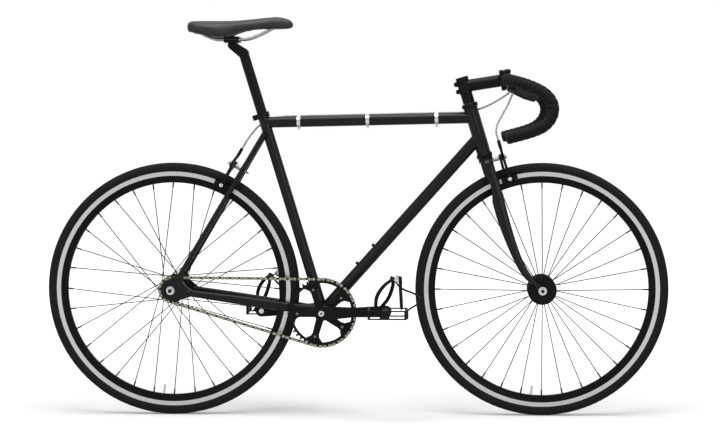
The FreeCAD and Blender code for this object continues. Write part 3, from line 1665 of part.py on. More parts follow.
def axle_set(label, axle, which):
    """Axle with its locknuts, and the two nuts that hold it."""
    radius = getattr(d, f"{which}_axle_radius")
    end_side = getattr(d, f"{which}_end_side")
    plate = d.track_end_thickness if which == "rear" else d.fork_end_thickness
    hub = getattr(d, f"{which}_hub_half_width") + d.seat_gap
    nut_face = end_side + plate
    tip = nut_face + d.nut_flange_thickness + d.nut_height + d.axle_stick_out
    half = [
        (0, 0),
        (0, radius),
        (hub, radius),
        (hub, d.locknut_radius),
        (end_side, d.locknut_radius),
        (end_side, radius),
        (tip, radius),
        (tip, 0),
    ]
    plane = Plane(axle, FORWARD, UP)
    plane.out = LEFT
    rod_solid = join(lathe(plane, half), lathe(plane, [(-along, size) for along, size in half]))
    nuts = []
    for side in SIDES.values():
        flange_top = axle + side * (nut_face + d.nut_flange_thickness)
        flange = rod(d.nut_flange_radius, axle + side * nut_face, flange_top)
        corners = [flange_top + in_side_view(60 * index) * d.nut_radius for index in range(6)]
        hexagon = Part.Face(Part.makePolygon(corners + corners[:1])).extrude(side * d.nut_height)
        nuts.append(join(flange, hexagon).cut(rod_solid))
    feature(label, rod_solid, *nuts)


# Chain and sprockets

CHAIN_OVER = Vector(CHAIN_BACK.z, 0, -CHAIN_BACK.x)
CHAIN_LEAN = run_lean(CHAIN_CENTRES)
RUN_PITCHES, COG_PITCHES, RING_PITCHES = pitches_round(CHAIN_CENTRES)
RING_BOLT_ANGLE = d.crank_angle + 180 / d.ring_arm_count
CHAIN_SIDE = RIGHT * d.chain_line


def chain_angle(direction):
    """Angle of a side-view direction from the line of centres, turning over the top."""
    return math.atan2(direction.dot(CHAIN_OVER), direction.dot(CHAIN_BACK))


def chain_direction(angle):
    return CHAIN_BACK * math.cos(angle) + CHAIN_OVER * math.sin(angle)


def chain_phase():
    """Fraction of a pitch that puts a roller in line with the chainring's first bolt."""
    first = -(math.pi / 2 - CHAIN_LEAN)
    turned = first - chain_angle(in_side_view(RING_BOLT_ANGLE))
    return (2 * RUN_PITCHES + COG_PITCHES + turned * d.chainring_teeth / (2 * math.pi)) % 1


def roller_at(pitches):
    """Middle of a roller, a number of pitches on from where the upper run leaves the chainring."""
    upper = chain_direction(math.pi / 2 - CHAIN_LEAN)
    lower = chain_direction(-(math.pi / 2 - CHAIN_LEAN))
    cog = BRACKET + CHAIN_BACK * CHAIN_CENTRES
    if pitches < RUN_PITCHES:
        start = BRACKET + upper * RING_PITCH_RADIUS
        end = cog + upper * COG_PITCH_RADIUS
        return start + (end - start) * (pitches / RUN_PITCHES)
    pitches -= RUN_PITCHES
    if pitches < COG_PITCHES:
        angle = math.pi / 2 - CHAIN_LEAN - pitches * 2 * math.pi / d.cog_teeth
        return cog + chain_direction(angle) * COG_PITCH_RADIUS
    pitches -= COG_PITCHES
    if pitches < RUN_PITCHES:
        start = cog + lower * COG_PITCH_RADIUS
        end = BRACKET + lower * RING_PITCH_RADIUS
        return start + (end - start) * (pitches / RUN_PITCHES)
    pitches -= RUN_PITCHES
    angle = -(math.pi / 2 - CHAIN_LEAN) - pitches * 2 * math.pi / d.chainring_teeth
    return BRACKET + chain_direction(angle) * RING_PITCH_RADIUS


def link_shape(inner):
    """One link along +X from its first roller: plates with a waist, and rollers or pins."""
    plane = Plane(Vector(), FORWARD, UP)
    half_roller = d.roller_width / 2
    low = half_roller if inner else half_roller + d.plate_thickness + d.plate_gap
    high = low + d.plate_thickness
    far = Vector(d.chain_pitch, 0, 0)
    solids = []
    for layer in ((-high, -low), (low, high)):
        ends = [rod(d.plate_radius, end + RIGHT * layer[0], end + RIGHT * layer[1]) for end in (Vector(), far)]
        waist = block(plane, (0, d.chain_pitch), (-d.plate_waist, d.plate_waist), layer)
        solids.append(join(*ends, waist))
    reach = low if inner else high + d.pin_overhang
    radius = d.roller_radius if inner else d.pin_radius
    cores = [rod(radius, end + RIGHT * reach, end + LEFT * reach) for end in (Vector(), far)]
    link = join(*solids, *cores)
    if inner:
        hole = d.pin_radius + d.running_gap
        link = link.cut([rod(hole, end + RIGHT * high, end + LEFT * high) for end in (Vector(), far)])
    return link


def make_chain():
    count = int(d.chain_links)
    phase = chain_phase()
    rollers = [roller_at(phase + index) + CHAIN_SIDE for index in range(count)]
    shapes = (link_shape(True), link_shape(False))
    links = []
    for index in range(count):
        start = rollers[index]
        heading = rollers[(index + 1) % count] - start
        link = shapes[index % 2].copy()
        link.Placement = Placement(start, Rotation(FORWARD, heading))
        links.append(link)
    feature("chain", *links)


def sprocket(label, teeth):
    """Toothed disc whose first tooth gap points along +X."""
    body = doc.addObject("PartDesign::Body", label)
    pitch_circle = f"sizes.chain_pitch / (2 * sin(180 deg / sizes.{teeth}))"
    disc = circle_sketch(body, f"{label}_outline", "XZ_Plane", "0", "0", f"{pitch_circle} + sizes.tooth_height")
    padded(body, f"{label}_disc", disc, "sizes.sprocket_thickness")
    bed = "sizes.roller_radius + sizes.tooth_clearance"
    seat = circle_sketch(body, f"{label}_roller_seat", "XZ_Plane", pitch_circle, "0", bed)
    seat_cut = through(body, f"{label}_seat_cut", seat)
    around(body, f"{label}_seats", seat_cut, seat, f"sizes.{teeth}")
    tip = f"{pitch_circle} + 2 * sizes.tooth_height"
    mouth = polygon_sketch(
        body,
        f"{label}_mouth",
        "XZ_Plane",
        [
            (pitch_circle, f"-({bed})"),
            (tip, "-sizes.tooth_tip_opening"),
            (tip, "sizes.tooth_tip_opening"),
            (pitch_circle, bed),
        ],
    )
    mouth_cut = through(body, f"{label}_mouth_cut", mouth)
    around(body, f"{label}_mouths", mouth_cut, mouth, f"sizes.{teeth}")
    return body


def make_chainring():
    label = "chainring"
    body = sprocket(label, "chainring_teeth")
    inside = circle_sketch(body, f"{label}_inside", "XZ_Plane", "0", "0", "sizes.ring_inner_radius")
    through(body, f"{label}_opening", inside)
    lobe = polygon_sketch(
        body,
        f"{label}_lobe",
        "XZ_Plane",
        [
            ("sizes.bolt_circle_radius", "-sizes.ring_lobe_radius"),
            ("sizes.ring_inner_radius + sizes.seat_gap", "-sizes.ring_lobe_foot"),
            ("sizes.ring_inner_radius + sizes.seat_gap", "sizes.ring_lobe_foot"),
            ("sizes.bolt_circle_radius", "sizes.ring_lobe_radius"),
        ],
    )
    raised = padded(body, f"{label}_lobe_pad", lobe, "sizes.sprocket_thickness")
    around(body, f"{label}_lobes", raised, lobe, "sizes.ring_arm_count")
    ear = circle_sketch(
        body, f"{label}_ear", "XZ_Plane", "sizes.bolt_circle_radius", "0", "sizes.ring_lobe_radius"
    )
    ear_pad = padded(body, f"{label}_ear_pad", ear, "sizes.sprocket_thickness")
    around(body, f"{label}_ears", ear_pad, ear, "sizes.ring_arm_count")
    hole = circle_sketch(
        body, f"{label}_hole", "XZ_Plane", "sizes.bolt_circle_radius", "0", "sizes.ring_bolt_radius"
    )
    hole_cut = through(body, f"{label}_hole_cut", hole)
    around(body, f"{label}_holes", hole_cut, hole, "sizes.ring_arm_count")
    body.Placement = Placement(BRACKET + CHAIN_SIDE, Rotation(RIGHT, RING_BOLT_ANGLE))
    nodes.append(body)


def make_cog():
    label = "rear_cog"
    body = sprocket(label, "cog_teeth")
    bore = circle_sketch(body, f"{label}_bore", "XZ_Plane", "0", "0", "sizes.cog_seat_radius")
    body.Tip = through(body, f"{label}_bore_cut", bore)
    phase = chain_phase()
    first_on_cog = math.ceil(RUN_PITCHES - phase) + phase - RUN_PITCHES
    angle = math.pi / 2 - CHAIN_LEAN - first_on_cog * 2 * math.pi / d.cog_teeth
    direction = chain_direction(angle)
    turn = math.degrees(math.atan2(direction.z, direction.x))
    body.Placement = Placement(REAR_AXLE + CHAIN_SIDE, Rotation(RIGHT, turn))
    nodes.append(body)


def make_wheels():
    for which, axle in (("front", FRONT_AXLE), ("rear", REAR_AXLE)):
        make_tyre(f"{which}_tyre", axle)
        make_inner_tube(f"{which}_inner_tube", axle)
        make_rim(f"{which}_rim", axle)
        axle_set(f"{which}_axle", axle, which)
    shell, bearings = make_hub(FRONT_AXLE, "front")
    feature("front_hub", shell, *bearings)
    make_spokes("front_spokes", FRONT_AXLE, "front", 0)

    shell, bearings = make_hub(REAR_AXLE, "rear")
    half_cog = d.sprocket_thickness / 2
    cog_back = REAR_AXLE + RIGHT * (d.chain_line - half_cog)
    cog_front = REAR_AXLE + RIGHT * (d.chain_line + half_cog)
    hub_end = REAR_AXLE + RIGHT * d.rear_hub_half_width
    shoulder = ring(d.lockring_radius, d.bearing_radius, REAR_AXLE + RIGHT * (d.rear_flange_side), cog_back)
    seat = ring(d.cog_seat_radius, d.bearing_radius, REAR_AXLE + RIGHT * d.rear_flange_side, hub_end)
    lockring = ring(d.lockring_radius, d.cog_seat_radius, cog_front, hub_end)
    feature("rear_hub", join(shell, seat, shoulder), *bearings, lockring)
    make_spokes("rear_spokes", REAR_AXLE, "rear", int(d.spoke_crosses))
    make_chain()
    make_cog()


# Crankset


def make_crankset():
    ring_face = d.chain_line + d.sprocket_thickness / 2
    spider_face = ring_face + d.spider_thickness
    arm_face = d.crank_side + d.crank_thickness
    spindle_end = arm_face - d.crank_bolt_height
    spindle = cylinder(
        "crank_spindle", "sizes.spindle_radius", 2 * spindle_end, BRACKET + RIGHT * spindle_end, LEFT
    )
    nodes.append(spindle)

    arms = []
    solids = []
    ahead = in_side_view(d.crank_angle)
    for name, side, heading in (("right", RIGHT, ahead), ("left", LEFT, ahead * -1)):
        plane = Plane(BRACKET, heading, side.cross(heading))
        layer = (d.crank_side, arm_face)
        waist = d.crank_length / 2
        arm = join(
            taper(plane, (0, 0), d.crank_boss_radius, (waist, 0), d.crank_waist_radius, layer),
            taper(plane, (waist, 0), d.crank_waist_radius, (d.crank_length, 0), d.crank_eye_radius, layer),
            rod(d.crank_boss_radius, BRACKET + side * ring_face, BRACKET + side * arm_face),
        )
        if name == "right":
            star = []
            for index in range(int(d.ring_arm_count)):
                spoke_way = in_side_view(RING_BOLT_ANGLE + index * 360 / d.ring_arm_count)
                spoke_plane = Plane(BRACKET, spoke_way, side.cross(spoke_way))
                star.append(
                    taper(
                        spoke_plane,
                        (0, 0),
                        d.spider_root_radius,
                        (d.bolt_circle_radius, 0),
                        d.spider_tip_radius,
                        (ring_face, spider_face),
                    )
                )
            arm = join(arm, *star)
        eye = plane.at(d.crank_length, 0)
        spindle_room = rod(d.spindle_radius, BRACKET, BRACKET + side * spindle_end)
        eye_room = rod(d.pedal_spindle_radius, eye, eye + side * arm_face)
        bolt_face = BRACKET + side * (arm_face + d.crank_bolt_height)
        bolt = rod(d.crank_bolt_radius, BRACKET + side * spindle_end, bolt_face)
        solids.append(bolt)
        arms.append(arm.cut(spindle_room).cut(eye_room).cut(bolt))
        pedal_end = d.pedal_side + d.pedal_width - d.pedal_spindle_end
        pedal_spindles.append(rod(d.pedal_spindle_radius, eye + side * d.crank_side, eye + side * pedal_end))
        pedal_axes[name] = eye

    bolt_holes = []
    for index in range(int(d.ring_arm_count)):
        way = in_side_view(RING_BOLT_ANGLE + index * 360 / d.ring_arm_count)
        middle = BRACKET + way * d.bolt_circle_radius
        inner_face = middle + RIGHT * (ring_face - d.sprocket_thickness)
        outer_face = middle + RIGHT * spider_face
        shank = rod(d.ring_bolt_radius, inner_face, outer_face)
        head = rod(d.ring_bolt_head_radius, outer_face, outer_face + RIGHT * d.ring_bolt_head)
        nut = rod(d.ring_bolt_head_radius, inner_face, inner_face + LEFT * d.ring_bolt_head)
        solids.append(join(shank, head, nut))
        bolt_holes.append(shank)
    arms[0] = arms[0].cut(bolt_holes)
    feature("crank_arms", *arms)
    feature("crank_bolts", *solids)
    feature("pedal_spindles", *pedal_spindles)


pedal_axes = {}
pedal_spindles = []

# Pedals with toe clips and straps

CLIP_SHARES = (
    # forward and up, as shares of the clip's reach and rise, from the front of the cage
    (0.70, 0.15),
    (0.80, 0.215),
    (0.92, 0.29),
    (1.0, 0.42),
    (0.93, 0.55),
    (0.74, 0.645),
    (0.55, 0.71),
    (0.38, 0.83),
)


def make_pedal(name, side):
    axis = pedal_axes[name]
    low = d.pedal_side
    high = low + d.pedal_width
    plane = Plane(axis, FORWARD, side.cross(FORWARD))
    up_sign = plane.up.dot(UP)

    def box(across, up, out):
        return block(plane, across, tuple(sorted(up_sign * value for value in up)), out)

    half = d.pedal_half_height
    cage_low = low + d.pedal_cage_side
    cage_high = high - d.pedal_cage_side
    barrel = rod(d.pedal_barrel_radius, axis + side * low, axis + side * high)
    front = box((d.pedal_front - d.pedal_wall, d.pedal_front), (-half, half), (cage_low, cage_high))
    rear = box((-d.pedal_rear, d.pedal_wall - d.pedal_rear), (-half, half), (cage_low, cage_high))
    sides = [
        box((-d.pedal_rear, d.pedal_front), (-half, half), layer)
        for layer in ((cage_low, cage_low + d.pedal_wall), (cage_high - d.pedal_wall, cage_high))
    ]
    window = d.pedal_window_half_height
    openings = [
        box(across, (-window, window), (low, high))
        for across in (
            (d.pedal_wall * 2 - d.pedal_rear, -d.pedal_barrel_radius - d.pedal_wall / 2),
            (d.pedal_barrel_radius + d.pedal_wall / 2, d.pedal_front - d.pedal_wall * 2),
        )
    ]
    spindle_end = high - d.pedal_spindle_end + d.seat_gap
    bore = rod(d.pedal_spindle_radius + d.running_gap, axis, axis + side * spindle_end)
    pedal = join(barrel, front, rear, *sides).cut(openings).cut(bore)
    feature(f"{name}_pedal", pedal)

    middle = axis + side * (low + high) / 2
    lean = math.radians(d.strap_lean)
    strap_up = UP * math.cos(lean) + FORWARD * math.sin(lean)
    strap = Plane(middle - FORWARD * d.strap_setback, side, strap_up)
    front_way = strap.out if strap.out.x > 0 else strap.out * -1
    half_span = d.pedal_width / 2 - d.pedal_cage_side + d.strap_side_gap
    top = d.strap_height
    shoulder = top * STRAP_SHOULDER_SHARE

    def strap_outline(grow):
        side_at = half_span + grow
        crest = d.strap_top_half_width + grow
        corners = [
            strap.at(0, -grow - d.strap_sink),
            strap.at(side_at, -grow - d.strap_sink),
            strap.at(side_at, shoulder),
            strap.at(crest, top + grow),
            strap.at(-crest, top + grow),
            strap.at(-side_at, shoulder),
            strap.at(-side_at, -grow - d.strap_sink),
            strap.at(0, -grow - d.strap_sink),
        ]
        path, _ = rounded_path(corners, STRAP_ARC_SHARE)
        face = Part.Face(path)
        face.translate(front_way * -d.strap_half_width)
        return face.extrude(front_way * 2 * d.strap_half_width)

    loop = strap_outline(d.strap_thickness).cut(strap_outline(0))

    keeper_plane = Plane(strap.at(0, top + d.strap_thickness / 2), front_way, strap_up)
    inner_half = d.strap_half_width + d.seat_gap
    inner_up = d.strap_thickness / 2 + d.seat_gap
    wide = (-d.clip_strip_half_width, d.clip_strip_half_width)
    keeper = block(
        keeper_plane,
        (-inner_half - d.keeper_wall, inner_half + d.keeper_wall),
        (-inner_up - d.keeper_wall, inner_up + d.keeper_wall),
        wide,
    ).cut(block(keeper_plane, (-inner_half, inner_half), (-inner_up, inner_up), wide))

    strip_half = d.clip_strip_thickness / 2
    base = d.pedal_front + strip_half
    clip_end = keeper_plane.at(inner_half + d.keeper_wall / 2, -inner_up)
    corners = [middle + FORWARD * base - UP * half, middle + FORWARD * base + UP * half * CLIP_FOOT_SHARE]
    corners += [
        middle + FORWARD * d.clip_reach * forward + UP * d.clip_rise * up for forward, up in CLIP_SHARES
    ]
    corners.append(clip_end)
    path, _ = rounded_path(corners)
    first = Plane(corners[0], FORWARD, LEFT)
    outline = [
        first.at(-strip_half, -d.clip_strip_half_width),
        first.at(strip_half, -d.clip_strip_half_width),
        first.at(strip_half, d.clip_strip_half_width),
        first.at(-strip_half, d.clip_strip_half_width),
    ]
    strip = path.makePipeShell([Part.makePolygon(outline + outline[:1])], True, False)
    inside_keeper = block(keeper_plane, (-inner_half, inner_half), (-inner_up, inner_up), wide)
    feature(f"{name}_toe_clip", join(strip, keeper).cut(inside_keeper))

    outer_side = half_span + d.strap_thickness
    buckle_plane = Plane(strap.at(outer_side, shoulder), strap_up, side)
    buckle_half = d.buckle_length / 2
    wall = d.buckle_wall
    facing = front_way.dot(buckle_plane.out)
    reach = (d.strap_half_width + wall) * facing
    buckle = block(
        buckle_plane,
        (-buckle_half - d.buckle_length, -d.buckle_length + buckle_half),
        (d.seat_gap, wall * 2),
        (-abs(reach), abs(reach)),
    )
    tail_top = strap.at(outer_side + wall * 2 + d.seat_gap, shoulder - d.buckle_length)
    tail_plane = Plane(tail_top, FORWARD, UP)
    tail_facing = side.dot(tail_plane.out)
    tail = block(
        tail_plane,
        (-d.strap_half_width, d.strap_half_width),
        (-d.strap_tail_length, d.strap_thickness),
        (0, d.strap_thickness * tail_facing),
    )
    feature(f"{name}_toe_strap", loop, buckle, tail)


STRAP_SHOULDER_SHARE = 0.82
STRAP_ARC_SHARE = 0.4
CLIP_FOOT_SHARE = 0.75

# Seatpost and saddle


PERCH_SHARE = 0.6


def make_seatpost():
    top = d.seat_tube_length + d.seatpost_rise
    bottom = d.seat_tube_length - d.seatpost_insertion
    outside = rod(d.seatpost_radius, on_seat_tube(bottom), on_seat_tube(top))
    bore = rod(
        d.seatpost_radius - d.seatpost_wall, on_seat_tube(bottom), on_seat_tube(top - d.seatpost_radius)
    )
    plane = Plane(SADDLE_CLAMP, FORWARD, UP)
    neck = on_seat_tube(top) - SADDLE_CLAMP
    perch_drop = d.cradle_thickness + d.post_head_radius * PERCH_SHARE
    head = taper(
        plane,
        (neck.x, neck.z),
        d.post_head_half_width,
        (0, -perch_drop),
        d.post_head_radius,
        (-d.post_head_half_width, d.post_head_half_width),
    )
    roof = block(
        plane,
        (-d.overrun, d.overrun),
        (-d.cradle_thickness, d.overrun),
        (-d.overrun, d.overrun),
    )
    feature("seatpost", join(outside, head).cut(bore).cut(roof).cut(cradle_bolt()))


def cradle_bolt():
    """Bolt that draws the two halves of the saddle clamp together."""
    foot = SADDLE_CLAMP - UP * (d.cradle_thickness + d.post_head_radius)
    neck = SADDLE_CLAMP + UP * d.cradle_thickness
    head = neck + UP * d.cradle_bolt_head / 2
    return join(rod(d.cradle_bolt_radius, foot, neck), rod(d.cradle_bolt_head, neck, head))


RAIL_POINTS_SHARES = (
    # along the saddle's length, across its half width, above the rails as a share of its height
    (-0.335, 0.50, 0.52),
    (-0.27, 0.46, 0.20),
    (-0.17, 0.36, 0.02),
)


def rail_points(side):
    """One rail, from under the tail to under the nose; flat and parallel at the clamp."""
    length = d.saddle_length
    points = [
        SADDLE_CLAMP + FORWARD * length * along + side * d.saddle_half_width * across + UP * d.saddle_height * up
        for along, across, up in RAIL_POINTS_SHARES
    ]
    points.append(SADDLE_CLAMP - FORWARD * d.cradle_half_length * 2 + side * d.rail_side)
    points.append(SADDLE_CLAMP + FORWARD * d.cradle_half_length * 2 + side * d.rail_side)
    for along, across, up in RAIL_NOSE_SHARES:
        points.append(
            SADDLE_CLAMP + FORWARD * length * along + side * d.rail_side * across + UP * d.saddle_height * up
        )
    return points


RAIL_NOSE_SHARES = (
    (0.27, 0.75, 0.22),
    (0.37, 0.52, 0.46),
    (0.435, 0.36, 0.64),
)


SADDLE_STATIONS_SHARES = (
    # along, half width, bottom, top, hollow: shares of length, half width, height and section depth
    (0.0, 0.62, 0.30, 0.76, 0.05),
    (0.035, 0.84, 0.26, 0.79, 0.20),
    (0.12, 0.97, 0.16, 0.80, 0.42),
    (0.24, 1.0, 0.03, 0.80, 0.52),
    (0.36, 0.88, 0.04, 0.80, 0.52),
    (0.48, 0.60, 0.24, 0.82, 0.42),
    (0.62, 0.39, 0.42, 0.88, 0.28),
    (0.80, 0.31, 0.45, 0.97, 0.18),
    (0.93, 0.25, 0.46, 0.95, 0.10),
    (1.0, 0.11, 0.54, 0.76, 0.04),
)
SKIRT_SHARE = 0.90
SIDE_BULGE_SHARE = 0.45
SHOULDER_WIDTH_SHARE = 0.84
SHOULDER_HEIGHT_SHARE = 0.80


def make_saddle():
    tail = SADDLE_CLAMP - FORWARD * d.saddle_tail
    sections = []
    for along, wide, bottom, top, hollow in SADDLE_STATIONS_SHARES:
        plane = Plane(tail + FORWARD * d.saddle_length * along, LEFT, UP)
        half = d.saddle_half_width * wide
        low = d.saddle_height * bottom
        depth = d.saddle_height * (top - bottom)
        foot = half * SKIRT_SHARE
        shoulder = (half * SHOULDER_WIDTH_SHARE, low + depth * SHOULDER_HEIGHT_SHARE)
        bulge = (half, low + depth * SIDE_BULGE_SHARE)
        edges = [
            Part.Arc(plane.at(-foot, low), plane.at(0, low + depth * hollow), plane.at(foot, low)),
            Part.Arc(plane.at(foot, low), plane.at(*bulge), plane.at(*shoulder)),
            Part.Arc(plane.at(*shoulder), plane.at(0, low + depth), plane.at(-shoulder[0], shoulder[1])),
            Part.Arc(plane.at(-shoulder[0], shoulder[1]), plane.at(-bulge[0], bulge[1]), plane.at(-foot, low)),
        ]
        sections.append(Part.Wire([edge.toShape() for edge in edges]))
    saddle = Part.makeLoft(sections, True, False)
    rails = [pipe(rounded_path(rail_points(side))[0], d.rail_radius) for side in SIDES.values()]
    feature("saddle", max(saddle.cut(rails).Solids, key=lambda solid: solid.Volume))
    feature("saddle_rails", *rails)

    plane = Plane(SADDLE_CLAMP, FORWARD, LEFT)
    halves = []
    for layer in ((-d.cradle_thickness, -d.seat_gap), (d.seat_gap, d.cradle_thickness)):
        jaw = block(
            plane,
            (-d.cradle_half_length, d.cradle_half_length),
            (-d.cradle_half_width, d.cradle_half_width),
            layer,
        )
        halves.append(jaw.cut(rails).cut(cradle_bolt()))
    feature("saddle_clamp", *halves, cradle_bolt())


make_main_tubes()
make_rear_triangle()
make_bearing_cups()
make_seat_collar()
make_cable_clips()
make_fork()
make_headset_stack()
make_stem()
make_handlebar()
make_brake_levers()
doc.recompute()
make_brakes()
make_cables()
make_wheels()
make_crankset()
make_chainring()
for side_name, side_way in SIDES.items():
    make_pedal(side_name, side_way)
make_seatpost()
make_saddle()
doc.recompute()

# Every object is checked before anything is written

for obj in doc.Objects:
    if "Invalid" in obj.State or "Error" in obj.State:
        raise RuntimeError(f"{obj.Label} failed: {obj.State}")
for obj in nodes:
    if obj.Shape.isNull() or not obj.Shape.isValid() or not obj.Shape.Solids:
        raise RuntimeError(f"{obj.Label} has no sound shape")

os.makedirs("parts", exist_ok=True)
for obj in nodes:
    obj.Shape.exportStep(f"parts/{obj.Label}.step")
print(len(nodes), "sub-parts written")
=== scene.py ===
import bisect
import json
import math

import bpy
from mathutils import Matrix, Vector


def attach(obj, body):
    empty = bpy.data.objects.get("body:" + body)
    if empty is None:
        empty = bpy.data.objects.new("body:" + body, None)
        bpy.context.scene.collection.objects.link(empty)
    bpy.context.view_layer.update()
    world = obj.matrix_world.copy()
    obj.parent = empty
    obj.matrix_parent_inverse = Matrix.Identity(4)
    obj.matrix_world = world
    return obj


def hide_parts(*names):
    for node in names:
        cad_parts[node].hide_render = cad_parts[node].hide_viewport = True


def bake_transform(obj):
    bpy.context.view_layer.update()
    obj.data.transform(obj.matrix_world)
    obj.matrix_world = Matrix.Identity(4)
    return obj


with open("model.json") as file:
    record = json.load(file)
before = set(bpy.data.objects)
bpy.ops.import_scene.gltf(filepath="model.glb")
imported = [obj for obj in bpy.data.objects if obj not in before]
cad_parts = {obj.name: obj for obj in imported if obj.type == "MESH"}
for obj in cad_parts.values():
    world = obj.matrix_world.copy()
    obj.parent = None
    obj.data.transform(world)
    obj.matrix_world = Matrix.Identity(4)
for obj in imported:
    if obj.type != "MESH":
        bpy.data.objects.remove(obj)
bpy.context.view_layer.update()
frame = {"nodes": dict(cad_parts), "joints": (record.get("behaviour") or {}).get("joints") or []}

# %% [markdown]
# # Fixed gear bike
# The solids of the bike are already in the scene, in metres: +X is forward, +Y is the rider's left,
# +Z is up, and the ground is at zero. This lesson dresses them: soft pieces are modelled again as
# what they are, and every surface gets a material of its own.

NODES = frame["nodes"]
JOINTS = {joint["name"]: joint for joint in frame["joints"]}
FRONT_AXLE = Vector(JOINTS["front_wheel_spin"]["pos_m"])
REAR_AXLE = Vector(JOINTS["rear_wheel_spin"]["pos_m"])
BRACKET = Vector(JOINTS["crank_spin"]["pos_m"])
UP = Vector((0, 0, 1))
# the rider's hands, and the way along Y from the middle to each
HANDS = (("right", -1), ("left", 1))

# %% [markdown]
# ## Camera
# The bike is seen square from its right side, from about five metres, with the lens at the height
# of the handlebar. A long lens keeps the wheels round. The camera stands a little ahead of the
# frame's middle. Turning it further towards the bike would squeeze one wheel, so a small shift of
# the film brings the bike back into the middle.

# %% Camera
CAMERA_PLACE = Vector((0.25, -5.0, 0.80))
CAMERA_AIM = Vector((0.122, 0.0, 0.622))
SENSOR_WIDTH = 36
LENS = 94.2
FILM_SHIFT = (-0.06, -0.05)


def look_at(thing, target):
    """Turn a camera or a lamp so that it faces a target: both look along their own -Z."""
    thing.rotation_euler = (target - thing.location).to_track_quat("-Z", "Y").to_euler()


bpy.ops.object.camera_add(location=CAMERA_PLACE)
camera = bpy.context.object
look_at(camera, CAMERA_AIM)
camera.data.sensor_fit = "HORIZONTAL"
camera.data.sensor_width = SENSOR_WIDTH
camera.data.lens = LENS
camera.data.shift_x, camera.data.shift_y = FILM_SHIFT
bpy.context.scene.camera = camera
print("camera", round((CAMERA_AIM - CAMERA_PLACE).length, 2), "m away")

# %% [markdown]
# ## Floor and light
# A plain white studio: a wide round floor, a broad lamp overhead and two weaker ones at the sides.
# A wall behind the bike would hide it from the back, so there is none. Away from the bike, where
# the lamps fade, floor and air glow for the camera and for shiny metal, so that both show white from
# every side. Under the wheels the floor keeps their soft shadow.

# %% Colour and node helpers
def linear(code):
    """A colour written as sRGB hex, as the linear RGBA that shaders take."""
    parts = [int(code[i : i + 2], 16) / 255 for i in (1, 3, 5)]
    light = [part / 12.92 if part <= 0.04045 else ((part + 0.055) / 1.055) ** 2.4 for part in parts]
    return light + [1]


def add(tree, kind, links=None, values=None, **settings):
    """One shader node: its settings, its sockets' fixed values, and links from other sockets."""
    new = tree.nodes.new(kind)
    for name, value in settings.items():
        setattr(new, name, value)
    for name, value in (values or {}).items():
        new.inputs[name].default_value = value
    for name, socket in (links or {}).items():
        tree.links.new(socket, new.inputs[name])
    return new


def new_material(name):
    """An empty material with its output and its main shader joined up."""
    material = bpy.data.materials.new(name)
    material.use_nodes = True
    tree = material.node_tree
    tree.nodes.clear()
    shader = add(tree, "ShaderNodeBsdfPrincipled")
    add(tree, "ShaderNodeOutputMaterial", {"Surface": shader.outputs["BSDF"]})
    return material, tree, shader


def seen_directly(tree):
    """One for rays from the camera, from shiny metal or through glass, and zero for other light."""
    path = add(tree, "ShaderNodeLightPath")
    seen = path.outputs["Is Camera Ray"]
    for kind in ("Is Glossy Ray", "Is Transmission Ray"):
        either = add(tree, "ShaderNodeMath", {0: seen, 1: path.outputs[kind]}, operation="MAXIMUM")
        seen = either.outputs["Value"]
    return seen


print("half grey in hex is", round(linear("#808080")[0], 3), "of white's light")

# %% Floor
FLOOR_RADIUS = 40
FLOOR_SIDES = 96
# The bike is about twice as long as the shadow beside it is wide
SHADOW_OVAL = (0.45, 1, 0)
# metres from the oval's middle over which the floor's glow rises, and its levels there
GLOW_REACH = (0.4, 3.0)
GLOW_LEVELS = (0.10, 0.82)

bpy.ops.object.select_all(action="DESELECT")
bpy.ops.mesh.primitive_circle_add(vertices=FLOOR_SIDES, radius=FLOOR_RADIUS, fill_type="NGON")
floor = bpy.context.object
floor.name = "studio_floor"

# Matt card: evenly pale, with no gloss to mirror the wheels
white, tree, shader = new_material("white_studio_card")
shader.inputs["Base Color"].default_value = linear("#dcdcdc")
shader.inputs["Roughness"].default_value = 0.9
ground = add(tree, "ShaderNodeTexCoord")
oval = add(
    tree, "ShaderNodeMapping", {"Vector": ground.outputs["Object"]}, {"Scale": SHADOW_OVAL}
)
away = add(tree, "ShaderNodeVectorMath", {0: oval.outputs["Vector"]}, operation="LENGTH")
fade = add(
    tree,
    "ShaderNodeMapRange",
    {"Value": away.outputs["Value"]},
    {
        "From Min": GLOW_REACH[0],
        "From Max": GLOW_REACH[1],
        "To Min": GLOW_LEVELS[0],
        "To Max": GLOW_LEVELS[1],
    },
)
glow = add(
    tree, "ShaderNodeEmission", {"Strength": fade.outputs["Result"]}, {"Color": linear("#ffffff")}
)
dark = add(tree, "ShaderNodeEmission", {}, {"Color": linear("#000000"), "Strength": 0})
lift = add(
    tree,
    "ShaderNodeMixShader",
    {"Fac": seen_directly(tree), 1: dark.outputs["Emission"], 2: glow.outputs["Emission"]},
)
both = add(tree, "ShaderNodeAddShader", {0: shader.outputs["BSDF"], 1: lift.outputs["Shader"]})
output = next(item for item in tree.nodes if item.type == "OUTPUT_MATERIAL")
tree.links.new(both.outputs["Shader"], output.inputs["Surface"])
floor.data.materials.append(white)
print("floor", 2 * FLOOR_RADIUS, "m across")

# %% Lamps and air
LAMPS = (
    # name, place, size, watts
    ("overhead_softbox", (0.0, -0.5, 3.4), 2.6, 152),
    ("front_softbox", (2.6, -3.4, 1.9), 2.2, 42),
    ("rear_softbox", (-3.0, -3.0, 1.7), 2.2, 38),
)
LAMP_AIM = Vector((0, 0, 0.5))
# how strongly the air lights the bike; seen directly it is white
AIR_LIGHT = 0.26

